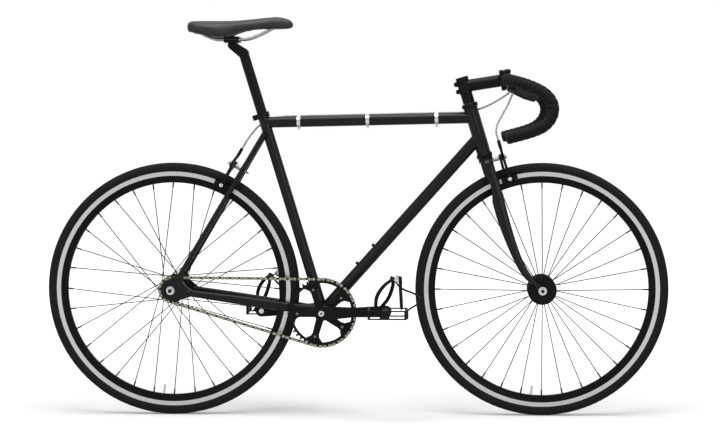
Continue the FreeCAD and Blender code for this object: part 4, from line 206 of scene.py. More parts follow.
for name, place, size, watts in LAMPS:
    bpy.ops.object.light_add(type="AREA", location=place)
    lamp = bpy.context.object
    lamp.name = name
    lamp.data.size = size
    lamp.data.energy = watts
    look_at(lamp, LAMP_AIM)
world = bpy.data.worlds.new("studio_air")
bpy.context.scene.world = world
world.use_nodes = True
tree = world.node_tree
air = tree.nodes["Background"]
air.inputs["Color"].default_value = linear("#ffffff")
level = add(tree, "ShaderNodeMapRange", {"Value": seen_directly(tree)}, {"To Min": AIR_LIGHT})
tree.links.new(level.outputs["Result"], air.inputs["Strength"])
bpy.context.scene.view_settings.view_transform = "Standard"
print(len(LAMPS), "lamps and the air")

# %% [markdown]
# ## Finishes
# Each finish starts from what the real surface is. Frame and fork are satin black powder coat:
# a smooth dielectric with a faint orange-peel ripple. Fittings are black anodised aluminium, which
# keeps some of the metal's sheen. Nylon is rough. A noise on the object's own coordinates needs no
# unwrapping and keeps its real size on every solid, so all of these are made from it.

# %% Patterns on object coordinates
# where the drift between two tones starts and ends, as levels of its noise
DRIFT = (0.35, 0.65)


def grain(tree, shader, spacing, strength, depth=0.0002):
    """A fine ripple in the surface: spacing in metres between its bumps."""
    place = add(tree, "ShaderNodeTexCoord")
    noise = add(
        tree,
        "ShaderNodeTexNoise",
        {"Vector": place.outputs["Object"]},
        {"Scale": 1 / spacing, "Detail": 2.0, "Roughness": 0.55},
    )
    bump = add(
        tree,
        "ShaderNodeBump",
        {"Height": noise.outputs["Fac"]},
        {"Strength": strength, "Distance": depth},
    )
    tree.links.new(bump.outputs["Normal"], shader.inputs["Normal"])
    return noise, bump


def speckle(tree, shader, noise, *tones):
    """Colour that drifts between two near tones with a noise."""
    ramp = add(tree, "ShaderNodeValToRGB", {"Fac": noise.outputs["Fac"]})
    for stop, position, code in zip(ramp.color_ramp.elements, DRIFT, tones):
        stop.position = position
        stop.color = linear(code)
    tree.links.new(ramp.outputs["Color"], shader.inputs["Base Color"])


def plain(name, tones, spacing, strength, roughness, metallic=0.0, sheen=0.5, depth=0.0002):
    """A finish of one tone with a drift in it and a fine ripple; sheen is its specular level."""
    material, tree, shader = new_material(name)
    shader.inputs["Roughness"].default_value = roughness
    shader.inputs["Metallic"].default_value = metallic
    shader.inputs["Specular IOR Level"].default_value = sheen
    noise, _ = grain(tree, shader, spacing, strength, depth)
    speckle(tree, shader, noise, *tones)
    return material


# %% Paint, plastic and plain metal
BRIGHT = ("#a6a8aa", "#bfc1c2")
BLACKED = ("#1d1c1b", "#272523")
INKY = ("#0d0d0e", "#131314")

# Satin powder coat: pigment in a smooth plastic film, its gloss broken by orange peel of about 2 mm
powder_coat = plain(
    "satin_powder_coat", ("#0b0b0c", "#0f0f10"), 0.002, 0.10, roughness=0.28, sheen=0.14
)
# Matt paint on the levers, worn even by hands: next to no gloss
lever_paint = plain(
    "matt_lever_paint", ("#0a0a0b", "#0e0e0f"), 0.001, 0.10, roughness=0.62, sheen=0.06
)
# Black anodised aluminium: dyed oxide over fine bead blasting, a soft sheen. The grit is finer
# than a picture shows, so it is drawn at 0.6 mm
anodised = plain(
    "black_anodised_aluminium",
    ("#0c0c0d", "#121213"),
    0.0006,
    0.10,
    roughness=0.38,
    metallic=0.2,
    sheen=0.08,
)
# Nickel-plated steel, turned and tumbled: bright and slightly uneven
plated_steel = plain("nickel_plated_steel", BRIGHT, 0.003, 0.05, roughness=0.26, metallic=1.0)
# Chrome-molybdenum saddle rails, drawn and left satin: greyer than plating
satin_steel = plain(
    "satin_rail_steel", ("#77797b", "#919394"), 0.003, 0.05, roughness=0.32, metallic=1.0
)
# Drawn steel spokes with brass nipples, both blackened: dull, with no glint
spoke_steel = plain("black_spoke_steel", INKY, 0.002, 0.05, roughness=0.6, sheen=0.08)
# Cog of case-hardened steel, blacked in oil: brownish dark metal
blacked_steel = plain("oil_blacked_steel", BLACKED, 0.002, 0.08, roughness=0.4, metallic=0.8)
# PVC cable housing, extruded: an even pale grey
housing = plain("grey_pvc_housing", ("#8d9092", "#989b9d"), 0.003, 0.05, roughness=0.45)
# Glass-filled nylon of pedals and toe clips, moulded: black with a fine pebbled skin
moulded_nylon = plain("moulded_nylon", INKY, 0.0008, 0.18, roughness=0.55, sheen=0.1)
print("plain finishes made")

# %% [markdown]
# ## Rims
# Each rim is a deep aluminium hoop, black all over, and then turned bright on the lathe where the
# brake pads run. The bright track could be a ring of its own, but on the real rim it is only a cut
# surface, so the finish changes with the distance from the axle.

# %% Rims
TRACK_INNER = 0.3011
TRACK_OUTER = 0.3124
# the lathe's rings are finer than a picture shows, so they are drawn 1.2 mm apart
LATHE_PITCH = 0.0012
# on the black wall, and on the turned track
RIM_ROUGHNESS = (0.4, 0.3)
RIM_METALLIC = (0.35, 0.9)
# Mix has sockets for every kind of data under the same names, so its colour ones go by number
MIX_SHARE, MIX_A, MIX_B, MIX_RESULT = 0, 6, 7, 2


def from_axle(tree, axle):
    """Distance from a wheel's axle line, and the angle round it, in the wheel's own plane."""
    place = add(tree, "ShaderNodeTexCoord")
    shift = add(
        tree,
        "ShaderNodeMapping",
        {"Vector": place.outputs["Object"]},
        {"Location": (-axle.x, 0, -axle.z), "Scale": (1, 0, 1)},
    )
    length = add(tree, "ShaderNodeVectorMath", {0: shift.outputs["Vector"]}, operation="LENGTH")
    split = add(tree, "ShaderNodeSeparateXYZ", {"Vector": shift.outputs["Vector"]})
    angle = add(
        tree, "ShaderNodeMath", {0: split.outputs["Z"], 1: split.outputs["X"]}, operation="ARCTAN2"
    )
    return length.outputs["Value"], angle.outputs["Value"]


def rim_finish(name, axle):
    """Deep black rim whose brake track is turned bright: fine rings left by the lathe."""
    material, tree, shader = new_material(name)
    shader.inputs["Specular IOR Level"].default_value = 0.08
    radius, _ = from_axle(tree, axle)
    above = add(tree, "ShaderNodeMath", {0: radius}, {1: TRACK_INNER}, operation="GREATER_THAN")
    below = add(tree, "ShaderNodeMath", {0: radius}, {1: TRACK_OUTER}, operation="LESS_THAN")
    track = add(
        tree,
        "ShaderNodeMath",
        {0: above.outputs["Value"], 1: below.outputs["Value"]},
        operation="MULTIPLY",
    ).outputs["Value"]
    rings = add(
        tree, "ShaderNodeMath", {0: radius}, {1: 2 * math.pi / LATHE_PITCH}, operation="MULTIPLY"
    )
    wave = add(tree, "ShaderNodeMath", {0: rings.outputs["Value"]}, operation="SINE")
    bright = add(tree, "ShaderNodeMapRange", {"Value": wave.outputs["Value"]}, {"From Min": -1})
    tone = add(tree, "ShaderNodeValToRGB", {"Fac": bright.outputs["Result"]})
    for stop, code in zip(tone.color_ramp.elements, ("#9a9b9b", "#bebfbf")):
        stop.color = linear(code)
    colour = add(
        tree,
        "ShaderNodeMix",
        {MIX_SHARE: track, MIX_B: tone.outputs["Color"]},
        {MIX_A: linear("#0c0c0d")},
        data_type="RGBA",
    )
    tree.links.new(colour.outputs[MIX_RESULT], shader.inputs["Base Color"])
    for socket, (wall, turned) in (("Roughness", RIM_ROUGHNESS), ("Metallic", RIM_METALLIC)):
        level = add(
            tree, "ShaderNodeMapRange", {"Value": track}, {"To Min": wall, "To Max": turned}
        )
        tree.links.new(level.outputs["Result"], shader.inputs[socket])
    return material


wheel_finishes = {
    "front_rim": rim_finish("front_rim_black_and_turned", FRONT_AXLE),
    "rear_rim": rim_finish("rear_rim_black_and_turned", REAR_AXLE),
}
print("rim tracks", round((TRACK_OUTER - TRACK_INNER) * 1000, 1), "mm wide")

# %% [markdown]
# ## Tyres
# A road tyre is smooth on its shoulders and has fine slanted cuts beside a smooth crown. Hundreds of
# real grooves would make a heavy mesh for something so shallow, so a wave that runs round the axle
# and leans with the distance from the middle presses them in.

# %% Tyres
TYRE_RADIUS = 0.336
TREAD_PITCH = 0.005
# tread lies beyond this radius, outside a smooth crown of this half width
TREAD_START = 0.3285
CROWN_HALF_WIDTH = 0.0028
# the wave's level above which rubber is cut away
CUT_LEVEL = 0.55


def tyre_finish(name, axle):
    """Road tyre rubber: smooth shoulders, and fine slanted cuts in the tread."""
    material, tree, shader = new_material(name)
    shader.inputs["Roughness"].default_value = 0.78
    shader.inputs["Specular IOR Level"].default_value = 0.1
    radius, angle = from_axle(tree, axle)
    place = add(tree, "ShaderNodeTexCoord")
    split = add(tree, "ShaderNodeSeparateXYZ", {"Vector": place.outputs["Object"]})
    side = add(tree, "ShaderNodeMath", {0: split.outputs["Y"]}, operation="ABSOLUTE")
    around = add(
        tree,
        "ShaderNodeMath",
        {0: angle},
        {1: TYRE_RADIUS * 2 * math.pi / TREAD_PITCH},
        operation="MULTIPLY",
    )
    slant = add(
        tree,
        "ShaderNodeMath",
        {0: side.outputs["Value"], 2: around.outputs["Value"]},
        {1: 2 * math.pi / TREAD_PITCH},
        operation="MULTIPLY_ADD",
    )
    wave = add(tree, "ShaderNodeMath", {0: slant.outputs["Value"]}, operation="SINE")
    tread = None
    for value, least in (
        (radius, TREAD_START),
        (side.outputs["Value"], CROWN_HALF_WIDTH),
        (wave.outputs["Value"], CUT_LEVEL),
    ):
        more = add(tree, "ShaderNodeMath", {0: value}, {1: least}, operation="GREATER_THAN")
        if tread is None:
            tread = more
            continue
        parts = {0: tread.outputs["Value"], 1: more.outputs["Value"]}
        tread = add(tree, "ShaderNodeMath", parts, operation="MULTIPLY")
    noise, grainy = grain(tree, shader, 0.0015, 0.15)
    speckle(tree, shader, noise, "#111111", "#181817")
    bump = add(
        tree,
        "ShaderNodeBump",
        {"Height": tread.outputs["Value"], "Normal": grainy.outputs["Normal"]},
        {"Strength": 0.6, "Distance": 0.0006},
        invert=True,
    )
    tree.links.new(bump.outputs["Normal"], shader.inputs["Normal"])
    return material


wheel_finishes["front_tyre"] = tyre_finish("front_tyre_rubber", FRONT_AXLE)
wheel_finishes["rear_tyre"] = tyre_finish("rear_tyre_rubber", REAR_AXLE)
print(round(2 * math.pi * TYRE_RADIUS / TREAD_PITCH), "tread cuts round each side of a tyre")

# %% [markdown]
# ## Axles, valves and bolts
# Some solids hold two surfaces: a blacked axle inside bright nuts, a plated valve stem on a butyl
# tube, and the bolts of cranks and chainring. On the bolts, the crank bolts' socket is darkened as
# painted shade, and the chainring bolts' grey is a painted highlight over their metal. They could be
# cut apart, but the surfaces meet at a known distance from an axle, so one finish changes its tone
# there.

# %% Axles, valves and bolts
FRONT_AXLE_RADIUS = 0.0047
REAR_AXLE_RADIUS = 0.0052
VALVE_FOOT = 0.308
# within this radius the crank bolts' socket is painted dark: painted shade in the recess
SOCKET_SHADE_RADIUS = 0.0028
CRANK_BOLT_REACH = 0.02
# grey of the chainring bolts: their own metal, lightened as a painted highlight
RING_BOLT_PAINTED_HIGHLIGHT = ("#58595c", "#6c6d70")


def ringed(name, axle, rings, roughness):
    """Metal whose tone changes at given distances from an axle, each tone with a slow drift."""
    material, tree, shader = new_material(name)
    shader.inputs["Metallic"].default_value = 1.0
    shader.inputs["Roughness"].default_value = roughness
    radius, _ = from_axle(tree, axle)
    noise, _ = grain(tree, shader, 0.003, 0.05)
    colour = None
    for start, tones in rings:
        tone = add(tree, "ShaderNodeValToRGB", {"Fac": noise.outputs["Fac"]})
        for stop, code in zip(tone.color_ramp.elements, tones):
            stop.color = linear(code)
        if colour is None:
            colour = tone.outputs["Color"]
            continue
        beyond = add(tree, "ShaderNodeMath", {0: radius}, {1: start}, operation="GREATER_THAN")
        mixed = add(
            tree,
            "ShaderNodeMix",
            {MIX_SHARE: beyond.outputs["Value"], MIX_A: colour, MIX_B: tone.outputs["Color"]},
            data_type="RGBA",
        )
        colour = mixed.outputs[MIX_RESULT]
    tree.links.new(colour, shader.inputs["Base Color"])
    return material


for end, axle, axle_radius in (
    ("front", FRONT_AXLE, FRONT_AXLE_RADIUS),
    ("rear", REAR_AXLE, REAR_AXLE_RADIUS),
):
    wheel_finishes[f"{end}_axle"] = ringed(
        f"{end}_axle_and_nuts", axle, ((0, BLACKED), (axle_radius, BRIGHT)), 0.28
    )
    wheel_finishes[f"{end}_inner_tube"] = ringed(
        f"{end}_valve_and_tube", axle, ((0, BRIGHT), (VALVE_FOOT, BLACKED)), 0.35
    )
# Bright crank bolts whose socket is darkened with painted shade, and chainring bolts in a grey that
# is a painted highlight over their own metal
wheel_finishes["crank_bolts"] = ringed(
    "bolts_with_painted_shade_and_highlight",
    BRACKET,
    ((0, BLACKED), (SOCKET_SHADE_RADIUS, BRIGHT), (CRANK_BOLT_REACH, RING_BOLT_PAINTED_HIGHLIGHT)),
    0.3,
)
print(len(wheel_finishes), "finishes that follow an axle")

# %% [markdown]
# ## Chain
# A chain is stamped steel. Its rollers and inner plates are drawn darkest, its outer plates dark,
# and beyond them the pin heads a pale beige: bright steel of their own, made paler by a painted
# highlight. They lie in layers to both sides of the chain line, so the tone follows the distance
# from it, and no link needs a material of its own.

# %% Chain
CHAIN_LINE = 0.042
# from the chain line: all is darkest up to the first distance, and the pale painted highlight is
# full from the second
CHAIN_LAYERS = (0.0026, 0.0044)
OUTER_PLATES = 0.62

chain_steel, tree, shader = new_material("chain_steel_with_painted_highlight")
shader.inputs["Metallic"].default_value = 1.0
shader.inputs["Roughness"].default_value = 0.36
place = add(tree, "ShaderNodeTexCoord")
split = add(tree, "ShaderNodeSeparateXYZ", {"Vector": place.outputs["Object"]})
from_line = add(
    tree, "ShaderNodeMath", {0: split.outputs["Y"]}, {1: CHAIN_LINE}, operation="ADD"
)
reach = add(tree, "ShaderNodeMath", {0: from_line.outputs["Value"]}, operation="ABSOLUTE")
layers = add(
    tree,
    "ShaderNodeMapRange",
    {"Value": reach.outputs["Value"]},
    {"From Min": CHAIN_LAYERS[0], "From Max": CHAIN_LAYERS[1]},
)
tone = add(tree, "ShaderNodeValToRGB", {"Fac": layers.outputs["Result"]})
tone.color_ramp.elements[0].color = linear("#14120f")
# the pale beige is a painted highlight on the pin heads, over their bright steel
tone.color_ramp.elements[1].color = linear("#a8a394")
tone.color_ramp.elements.new(OUTER_PLATES).color = linear("#26231d")
grain(tree, shader, 0.004, 0.10)
tree.links.new(tone.outputs["Color"], shader.inputs["Base Color"])
print("chain finish in", len(tone.color_ramp.elements), "tones")

# %% [markdown]
# ## Finishes onto the solids
# A rigid solid keeps its shape, and only its material changes. It could be picked by hand, but a
# list that names every solid under its finish shows at one look what is made of what.

# %% Finishes onto the solids
FINISHES = {
    powder_coat: [
        "head_tube",
        "top_tube",
        "down_tube",
        "seat_tube",
        "bottom_bracket_shell",
        "chainstays",
        "seatstays",
        "fork_crown",
        "fork_blades",
        "track_ends",
    ],
    lever_paint: ["right_lever_blade", "left_lever_blade"],
    anodised: [
        "bearing_cups",
        "seat_collar",
        "headset_spacers",
        "stem",
        "stem_faceplate",
        "handlebar",
        "lever_clamps",
        "front_right_caliper_arm",
        "front_left_caliper_arm",
        "rear_right_caliper_arm",
        "rear_left_caliper_arm",
        "front_hub",
        "rear_hub",
        "crank_arms",
        "chainring",
        "seatpost",
        "saddle_clamp",
    ],
    blacked_steel: ["rear_cog"],
    plated_steel: ["fork_steerer", "crank_spindle", "pedal_spindles", "cable_clips"],
    satin_steel: ["saddle_rails", "front_brake_bolt", "rear_brake_bolt"],
    spoke_steel: ["front_spokes", "rear_spokes"],
    chain_steel: ["chain"],
    housing: ["front_brake_cable", "rear_brake_cable", "rear_cable_loop"],
    moulded_nylon: ["right_pedal", "left_pedal"],
}
solid_finishes = {name: material for material, names in FINISHES.items() for name in names}
solid_finishes.update(wheel_finishes)
for name, material in solid_finishes.items():
    NODES[name].data.materials.clear()
    NODES[name].data.materials.append(material)
print("finishes on", len(solid_finishes), "solids")

# %% [markdown]
# ## Smooth lines
# Tape, straps and the loose cable all follow a line. A NURBS curve is steered by a few points,
# read back as closely spaced places, and then walked by distance, with a frame of directions that
# never twists. A bevelled curve would be quicker, but it can't be lapped like tape or flat like a
# strap, so a grid is wrapped round the line instead.

# %% Smooth lines
LINE_STEPS = 16


def smooth_line(points, closed=False):
    """Closely spaced places on the smooth curve that the given points steer."""
    curve = bpy.data.curves.new("line", "CURVE")
    curve.dimensions = "3D"
    curve.resolution_u = LINE_STEPS
    spline = curve.splines.new("NURBS")
    spline.points.add(len(points) - 1)
    for handle, point in zip(spline.points, points):
        handle.co = (*point, 1)
    spline.order_u = 3
    spline.use_endpoint_u = not closed
    spline.use_cyclic_u = closed
    holder = bpy.data.objects.new("line", curve)
    bpy.context.collection.objects.link(holder)
    mesh = bpy.data.meshes.new_from_object(holder)
    line = [vertex.co.copy() for vertex in mesh.vertices]
    bpy.data.objects.remove(holder)
    return line + line[:1] if closed else line


def walk(line, side):
    """The line's length, and a function from a distance to a place and the directions there."""
    stops = [0.0]
    ways = []
    for start, end in zip(line, line[1:]):
        heading = (end - start).normalized()
        side = (side - heading * side.dot(heading)).normalized()
        ways.append((heading, side, heading.cross(side)))
        stops.append(stops[-1] + (end - start).length)

    def place(distance):
        index = min(max(bisect.bisect_right(stops, distance) - 1, 0), len(ways) - 1)
        heading, across, over = ways[index]
        return line[index] + heading * (distance - stops[index]), heading, across, over

    return stops[-1], place


print("lines are read", LINE_STEPS, "times for each of their points")

# %% Grids, seams and pieces
SEAM = 0.00002


def start_grid(name, columns, rows):
    """A flat grid, ready to be wrapped: its points run from 0 to 1 both ways."""
    bpy.ops.object.select_all(action="DESELECT")
    bpy.ops.mesh.primitive_grid_add(x_subdivisions=columns, y_subdivisions=rows, size=2)
    piece = bpy.context.object
    piece.name = name
    piece.data.transform(Matrix.Translation((1, 1, 0)))
    piece.data.transform(Matrix.Diagonal((0.5, 0.5, 1, 1)))
    return piece


def choose(piece):
    """Select one piece alone and make it active, as an operator needs."""
    bpy.ops.object.select_all(action="DESELECT")
    piece.select_set(True)
    bpy.context.view_layer.objects.active = piece


def close_up(piece, angle=40):
    """Merge the seams, turn the faces outwards and smooth all but the sharp edges."""
    choose(piece)
    bpy.ops.object.mode_set(mode="EDIT")
    bpy.ops.mesh.select_all(action="SELECT")
    bpy.ops.mesh.remove_doubles(threshold=SEAM)
    bpy.ops.mesh.normals_make_consistent(inside=False)
    bpy.ops.object.mode_set(mode="OBJECT")
    bpy.ops.object.shade_smooth_by_angle(angle=math.radians(angle))
    return piece


def dress(piece, material, body, slot, *stands_for):
    """Give a finished piece its material, its body and the solids that it stands for; its slot is
    not used.
    """
    piece.data.materials.clear()
    piece.data.materials.append(material)
    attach(piece, body)
    if stands_for:
        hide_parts(*stands_for)
    return piece


print("seams closer than", SEAM * 1000, "mm are merged")

# %% [markdown]
# ## Handlebar tape
# Cork tape is wound from the end of each drop towards the stem, and every turn laps over the one
# before. A row of rings could stand for the turns, but only a slanted winding shows the lap. A grid
# is wrapped round the bar on that slant, so that its columns follow the lapped edge, and each turn
# rises 1.7 mm from one edge to the other.

# %% Tape
BAR_CLAMP = Vector((0.39218, 0.0, 0.89154))
BAR_REACH = 0.118
BAR_HALF_WIDTH = 0.200
BAR_DROP = 0.152
# ahead, out and down from the clamp, as shares of reach, half width and drop
BAR_SHARES = (
    (0.0, 0.0, 0.0),
    (0.0, 0.40, 0.0),
    (0.085, 0.58, 0.02),
    (0.30, 0.745, 0.065),
    (0.58, 0.86, 0.145),
    (0.83, 0.925, 0.255),
    (0.965, 0.955, 0.39),
    (1.0, 0.97, 0.525),
    (0.945, 0.98, 0.675),
    (0.80, 0.99, 0.80),
    (0.60, 0.995, 0.875),
    (0.33, 1.0, 0.94),
    (0.02, 1.0, 1.0),
)
TAPE_FOOT = 0.0139
TAPE_RIDGE = 0.0017
TAPE_START = 0.084
TAPE_WRAPS = 24
TAPE_ROWS = 36
# along one wrap, and how much of the ridge has risen there
TAPE_SHAPE = (
    (0.0, 0.0),
    (0.06, 0.40),
    (0.22, 0.75),
    (0.5, 0.97),
    (0.82, 1.0),
    (0.94, 0.80),
    (0.985, 0.30),
)

# Cork crumb in foam tape: matt black, with pores about 1.2 mm apart
cork = plain(
    "black_cork_tape",
    ("#0e0e0f", "#171718"),
    0.0012,
    0.35,
    roughness=0.72,
    sheen=0.08,
    depth=0.0003,
)


def bar_line(side):
    """The middle of one half of the bar, from the stem out to its end."""
    corners = [
        BAR_CLAMP + Vector((BAR_REACH * ahead, side * BAR_HALF_WIDTH * out, -BAR_DROP * down))
        for ahead, out, down in BAR_SHARES
    ]
    return smooth_line(corners)


def wound_tape(name, side):
    """Tape wound round one half of the bar."""
    length, place = walk(bar_line(side), UP)
    wrap = (length - TAPE_START) / TAPE_WRAPS
    steps = len(TAPE_SHAPE)
    columns = (TAPE_WRAPS + 1) * steps
    tape = start_grid(name, columns, TAPE_ROWS)
    for vertex in tape.data.vertices:
        column = round(vertex.co.x * columns)
        turn = vertex.co.y
        share, ridge = TAPE_SHAPE[column % steps]
        distance = TAPE_START + wrap * (column // steps - 1 + share + turn)
        middle, _, across, over = place(min(max(distance, TAPE_START), length))
        angle = 2 * math.pi * turn * side
        radius = TAPE_FOOT + TAPE_RIDGE * ridge
        vertex.co = middle + (across * math.cos(angle) + over * math.sin(angle)) * radius
    return close_up(tape, 35)


print("tape in", TAPE_WRAPS, "wraps that rise", round(TAPE_RIDGE * 1000, 1), "mm each")

# %% [markdown]
# ## Plugs and finishing bands
# A moulded plug holds the tape in the bar's end, and a band holds its last turn near the stem. Both
# are round, so each grows from a disc that is extruded and scaled step by step. Spinning a profile
# would do as well, but leaves a seam to close.

# %% Plugs and finishing bands
# a plug's dome: along from the bar's end, and radius
PLUG_PROFILE = (
    (-0.004, 0.0100),
    (-0.0005, 0.0148),
    (0.0015, 0.0150),
    (0.0035, 0.0144),
    (0.0052, 0.0126),
    (0.0062, 0.0090),
    (0.0066, 0.0040),
)
# a band over the tape's last turn: along from its own middle, and radius
BAND_PROFILE = ((-0.010, 0.0135), (-0.0096, 0.0143), (0.0096, 0.0146), (0.010, 0.0135))
BAND_SHIFT = 0.004


def turned_piece(name, profile, middle, heading, sides=48):
    """A turned piece: (along, radius) steps extruded from a disc, stood along a heading."""
    bpy.ops.object.select_all(action="DESELECT")
    bpy.ops.mesh.primitive_circle_add(vertices=sides, radius=profile[0][1], fill_type="NGON")
    piece = bpy.context.object
    piece.name = name
    bpy.ops.object.mode_set(mode="EDIT")
    bpy.ops.mesh.select_all(action="SELECT")
    for (low, before), (high, after) in zip(profile, profile[1:]):
        bpy.ops.mesh.extrude_region_move(TRANSFORM_OT_translate={"value": (0, 0, high - low)})
        bpy.ops.transform.resize(value=(after / before, after / before, 1))
    bpy.ops.object.mode_set(mode="OBJECT")
    turn = heading.to_track_quat("Z", "Y").to_matrix().to_4x4()
    foot = Matrix.Translation((0, 0, profile[0][0]))
    piece.data.transform(Matrix.Translation(middle) @ turn @ foot)
    return close_up(piece, 35)


print("bands", round((BAND_PROFILE[-1][0] - BAND_PROFILE[0][0]) * 1000), "mm wide")

# %% Both halves of the bar
for hand, side in HANDS:
    tape = wound_tape(f"{hand}_bar_tape", side)
    dress(tape, cork, "steering", "tape", "bar_tape")
    length, place = walk(bar_line(side), UP)
    end, heading, _, _ = place(length)
    plug = turned_piece(f"{hand}_bar_plug", PLUG_PROFILE, end, heading)
    dress(plug, moulded_nylon, "steering", "tape")
    start, heading, _, _ = place(TAPE_START)
    middle = start + heading * BAND_SHIFT
    band = turned_piece(f"{hand}_tape_finishing_band", BAND_PROFILE, middle, heading)
    dress(band, moulded_nylon, "steering", "tape")
    print(hand, "tape", len(tape.data.polygons), "faces on", round(length, 3), "m of bar")

# %% [markdown]
# ## Brake pad nuts
# Each brake pad hangs on a bolt through the foot of its arm, and a plated domed nut holds it. The
# nut's place could be written down, but it is read from the solid, so that it follows the arm: of
# the arm's foot, the part beside the rim's brake track, the outermost face is the end of that bolt.

# %% Brake pad nuts
NUT_PROFILE = (
    (-0.0032, 0.0040),
    (-0.0030, 0.0052),
    (0.0006, 0.0052),
    (0.0016, 0.0046),
    (0.0022, 0.0030),
)
NUT_SIDES = 24
# corners this near to the outermost one lie on the same face
SAME_FACE = 0.0001

for arm in ("front_right", "front_left", "rear_right", "rear_left"):
    side = -1 if arm.endswith("right") else 1
    axle = FRONT_AXLE if arm.startswith("front") else REAR_AXLE
    corners = [
        vertex.co
        for vertex in NODES[f"{arm}_caliper_arm"].data.vertices
        if math.hypot(vertex.co.x - axle.x, vertex.co.z - axle.z) < TRACK_OUTER
    ]
    outermost = max(side * corner.y for corner in corners)
    face = [corner for corner in corners if outermost - side * corner.y < SAME_FACE]
    middle = sum(face, Vector()) / len(face)
    nut = turned_piece(f"{arm}_pad_nut", NUT_PROFILE, middle, Vector((0, side, 0)), NUT_SIDES)
    dress(nut, plated_steel, f"{arm}_arm", "steel")
    print(arm, "pad nut", round(outermost * 1000, 1), "mm from the middle")

# %% [markdown]
# ## Saddle
# A racing saddle is firm foam under a thin stretched cover. The solid gives the outline. Bevelling
# its edges would leave them mechanical, so a copy is remeshed into even faces, eased a little so
# that no ridge of the loft shows, and blown up against its own cover as cloth, which rounds the
# edges as foam does.

# %% Saddle cover's finish
CREASE_SPACING = 0.0016

# Coated microfibre over foam: smooth and dull, with a net of shallow creases about 1.6 mm wide
saddle_skin, tree, shader = new_material("smooth_saddle_cover")
shader.inputs["Roughness"].default_value = 0.5
shader.inputs["Specular IOR Level"].default_value = 0.25
place = add(tree, "ShaderNodeTexCoord")
cells = add(
    tree,
    "ShaderNodeTexVoronoi",
    {"Vector": place.outputs["Object"]},
    {"Scale": 1 / CREASE_SPACING},
    feature="DISTANCE_TO_EDGE",
)
noise, drift = grain(tree, shader, 0.012, 0.08)
speckle(tree, shader, noise, "#111112", "#181819")
creases = add(
    tree,
    "ShaderNodeBump",
    {"Height": cells.outputs["Distance"], "Normal": drift.outputs["Normal"]},
    {"Strength": 0.22, "Distance": 0.0004},
)
tree.links.new(creases.outputs["Normal"], shader.inputs["Normal"])
print("saddle finish made")

# %% Saddle
SADDLE_VOXEL = 0.004
SADDLE_SWELL = 0.0022
CLOTH_PRESSURE = 4
CLOTH_STEPS = 20


def copy_of(node, name):
    """A fresh object with a merged copy of a solid's mesh."""
    piece = bpy.data.objects.new(name, NODES[node].data.copy())
    bpy.context.collection.objects.link(piece)
    return close_up(piece)


def apply_modifier(piece, kind, **settings):
    """Add a modifier with its settings and apply it at once."""
    modifier = piece.modifiers.new(kind.lower(), kind)
    for name, value in settings.items():
        setattr(modifier, name, value)
    choose(piece)
    bpy.ops.object.modifier_apply(modifier=modifier.name)


saddle = copy_of("saddle", "saddle_cover")
apply_modifier(saddle, "REMESH", mode="VOXEL", voxel_size=SADDLE_VOXEL)
apply_modifier(saddle, "SMOOTH", factor=0.5, iterations=6)
rest = [vertex.co.copy() for vertex in saddle.data.vertices]
cloth = saddle.modifiers.new("cloth", "CLOTH")
cloth.settings.use_pressure = True
cloth.settings.uniform_pressure_force = CLOTH_PRESSURE
cloth.settings.effector_weights.gravity = 0
for step in range(1, CLOTH_STEPS + 1):
    bpy.context.scene.frame_set(step)
choose(saddle)
bpy.ops.object.modifier_apply(modifier="cloth")
bpy.context.scene.frame_set(1)
for vertex, before in zip(saddle.data.vertices, rest):
    move = vertex.co - before
    if move.length > SADDLE_SWELL:
        vertex.co = before + move * (SADDLE_SWELL / move.length)
apply_modifier(saddle, "SMOOTH", factor=0.5, iterations=3)
apply_modifier(saddle, "SUBSURF", levels=1, render_levels=1)
bpy.ops.object.shade_smooth()
dress(saddle, saddle_skin, "seat", "saddle_cover", "saddle")
print("saddle", len(saddle.data.polygons), "faces")

# %% [markdown]
# ## Toe straps
# A nylon strap runs under the pedal, up both sides and through the loop of the toe clip, and is
# drawn tight by a plated buckle from which its end hangs. A bare sheet would have no edge to
# catch the light, so a strap is a grid rolled into a flat ribbon with rounded edges and laid along
# its line.

# %% Webbing
# threads are finer than a picture shows, so they are drawn 1.1 mm apart
THREAD_SPACING = 0.0011

# Woven nylon webbing: matt, with the weave's checks raised
webbing, tree, shader = new_material("woven_nylon_webbing")
shader.inputs["Roughness"].default_value = 0.8
shader.inputs["Specular IOR Level"].default_value = 0.1
place = add(tree, "ShaderNodeTexCoord")
weave = add(
    tree,
    "ShaderNodeTexChecker",
    {"Vector": place.outputs["Object"]},
    {"Scale": 1 / THREAD_SPACING, "Color1": linear("#0a0a0b"), "Color2": linear("#141415")},
)
tree.links.new(weave.outputs["Color"], shader.inputs["Base Color"])
raised = add(
    tree,
    "ShaderNodeBump",
    {"Height": weave.outputs["Fac"]},
    {"Strength": 0.4, "Distance": 0.0004},
)
tree.links.new(raised.outputs["Normal"], shader.inputs["Normal"])
print("webbing finish made")

# %% Strap loops
PEDAL_MIDDLE = 0.119
STRAP_SETBACK = 0.020
STRAP_HALF_WIDTH = 0.005
STRAP_HALF_THICKNESS = 0.001
STRAP_STEPS = 160
STRAP_LEAN = math.radians(23.6)
STRAP_UP = Vector((math.sin(STRAP_LEAN), 0, math.cos(STRAP_LEAN)))
STRAP_AHEAD = Vector((math.cos(STRAP_LEAN), 0, -math.sin(STRAP_LEAN)))
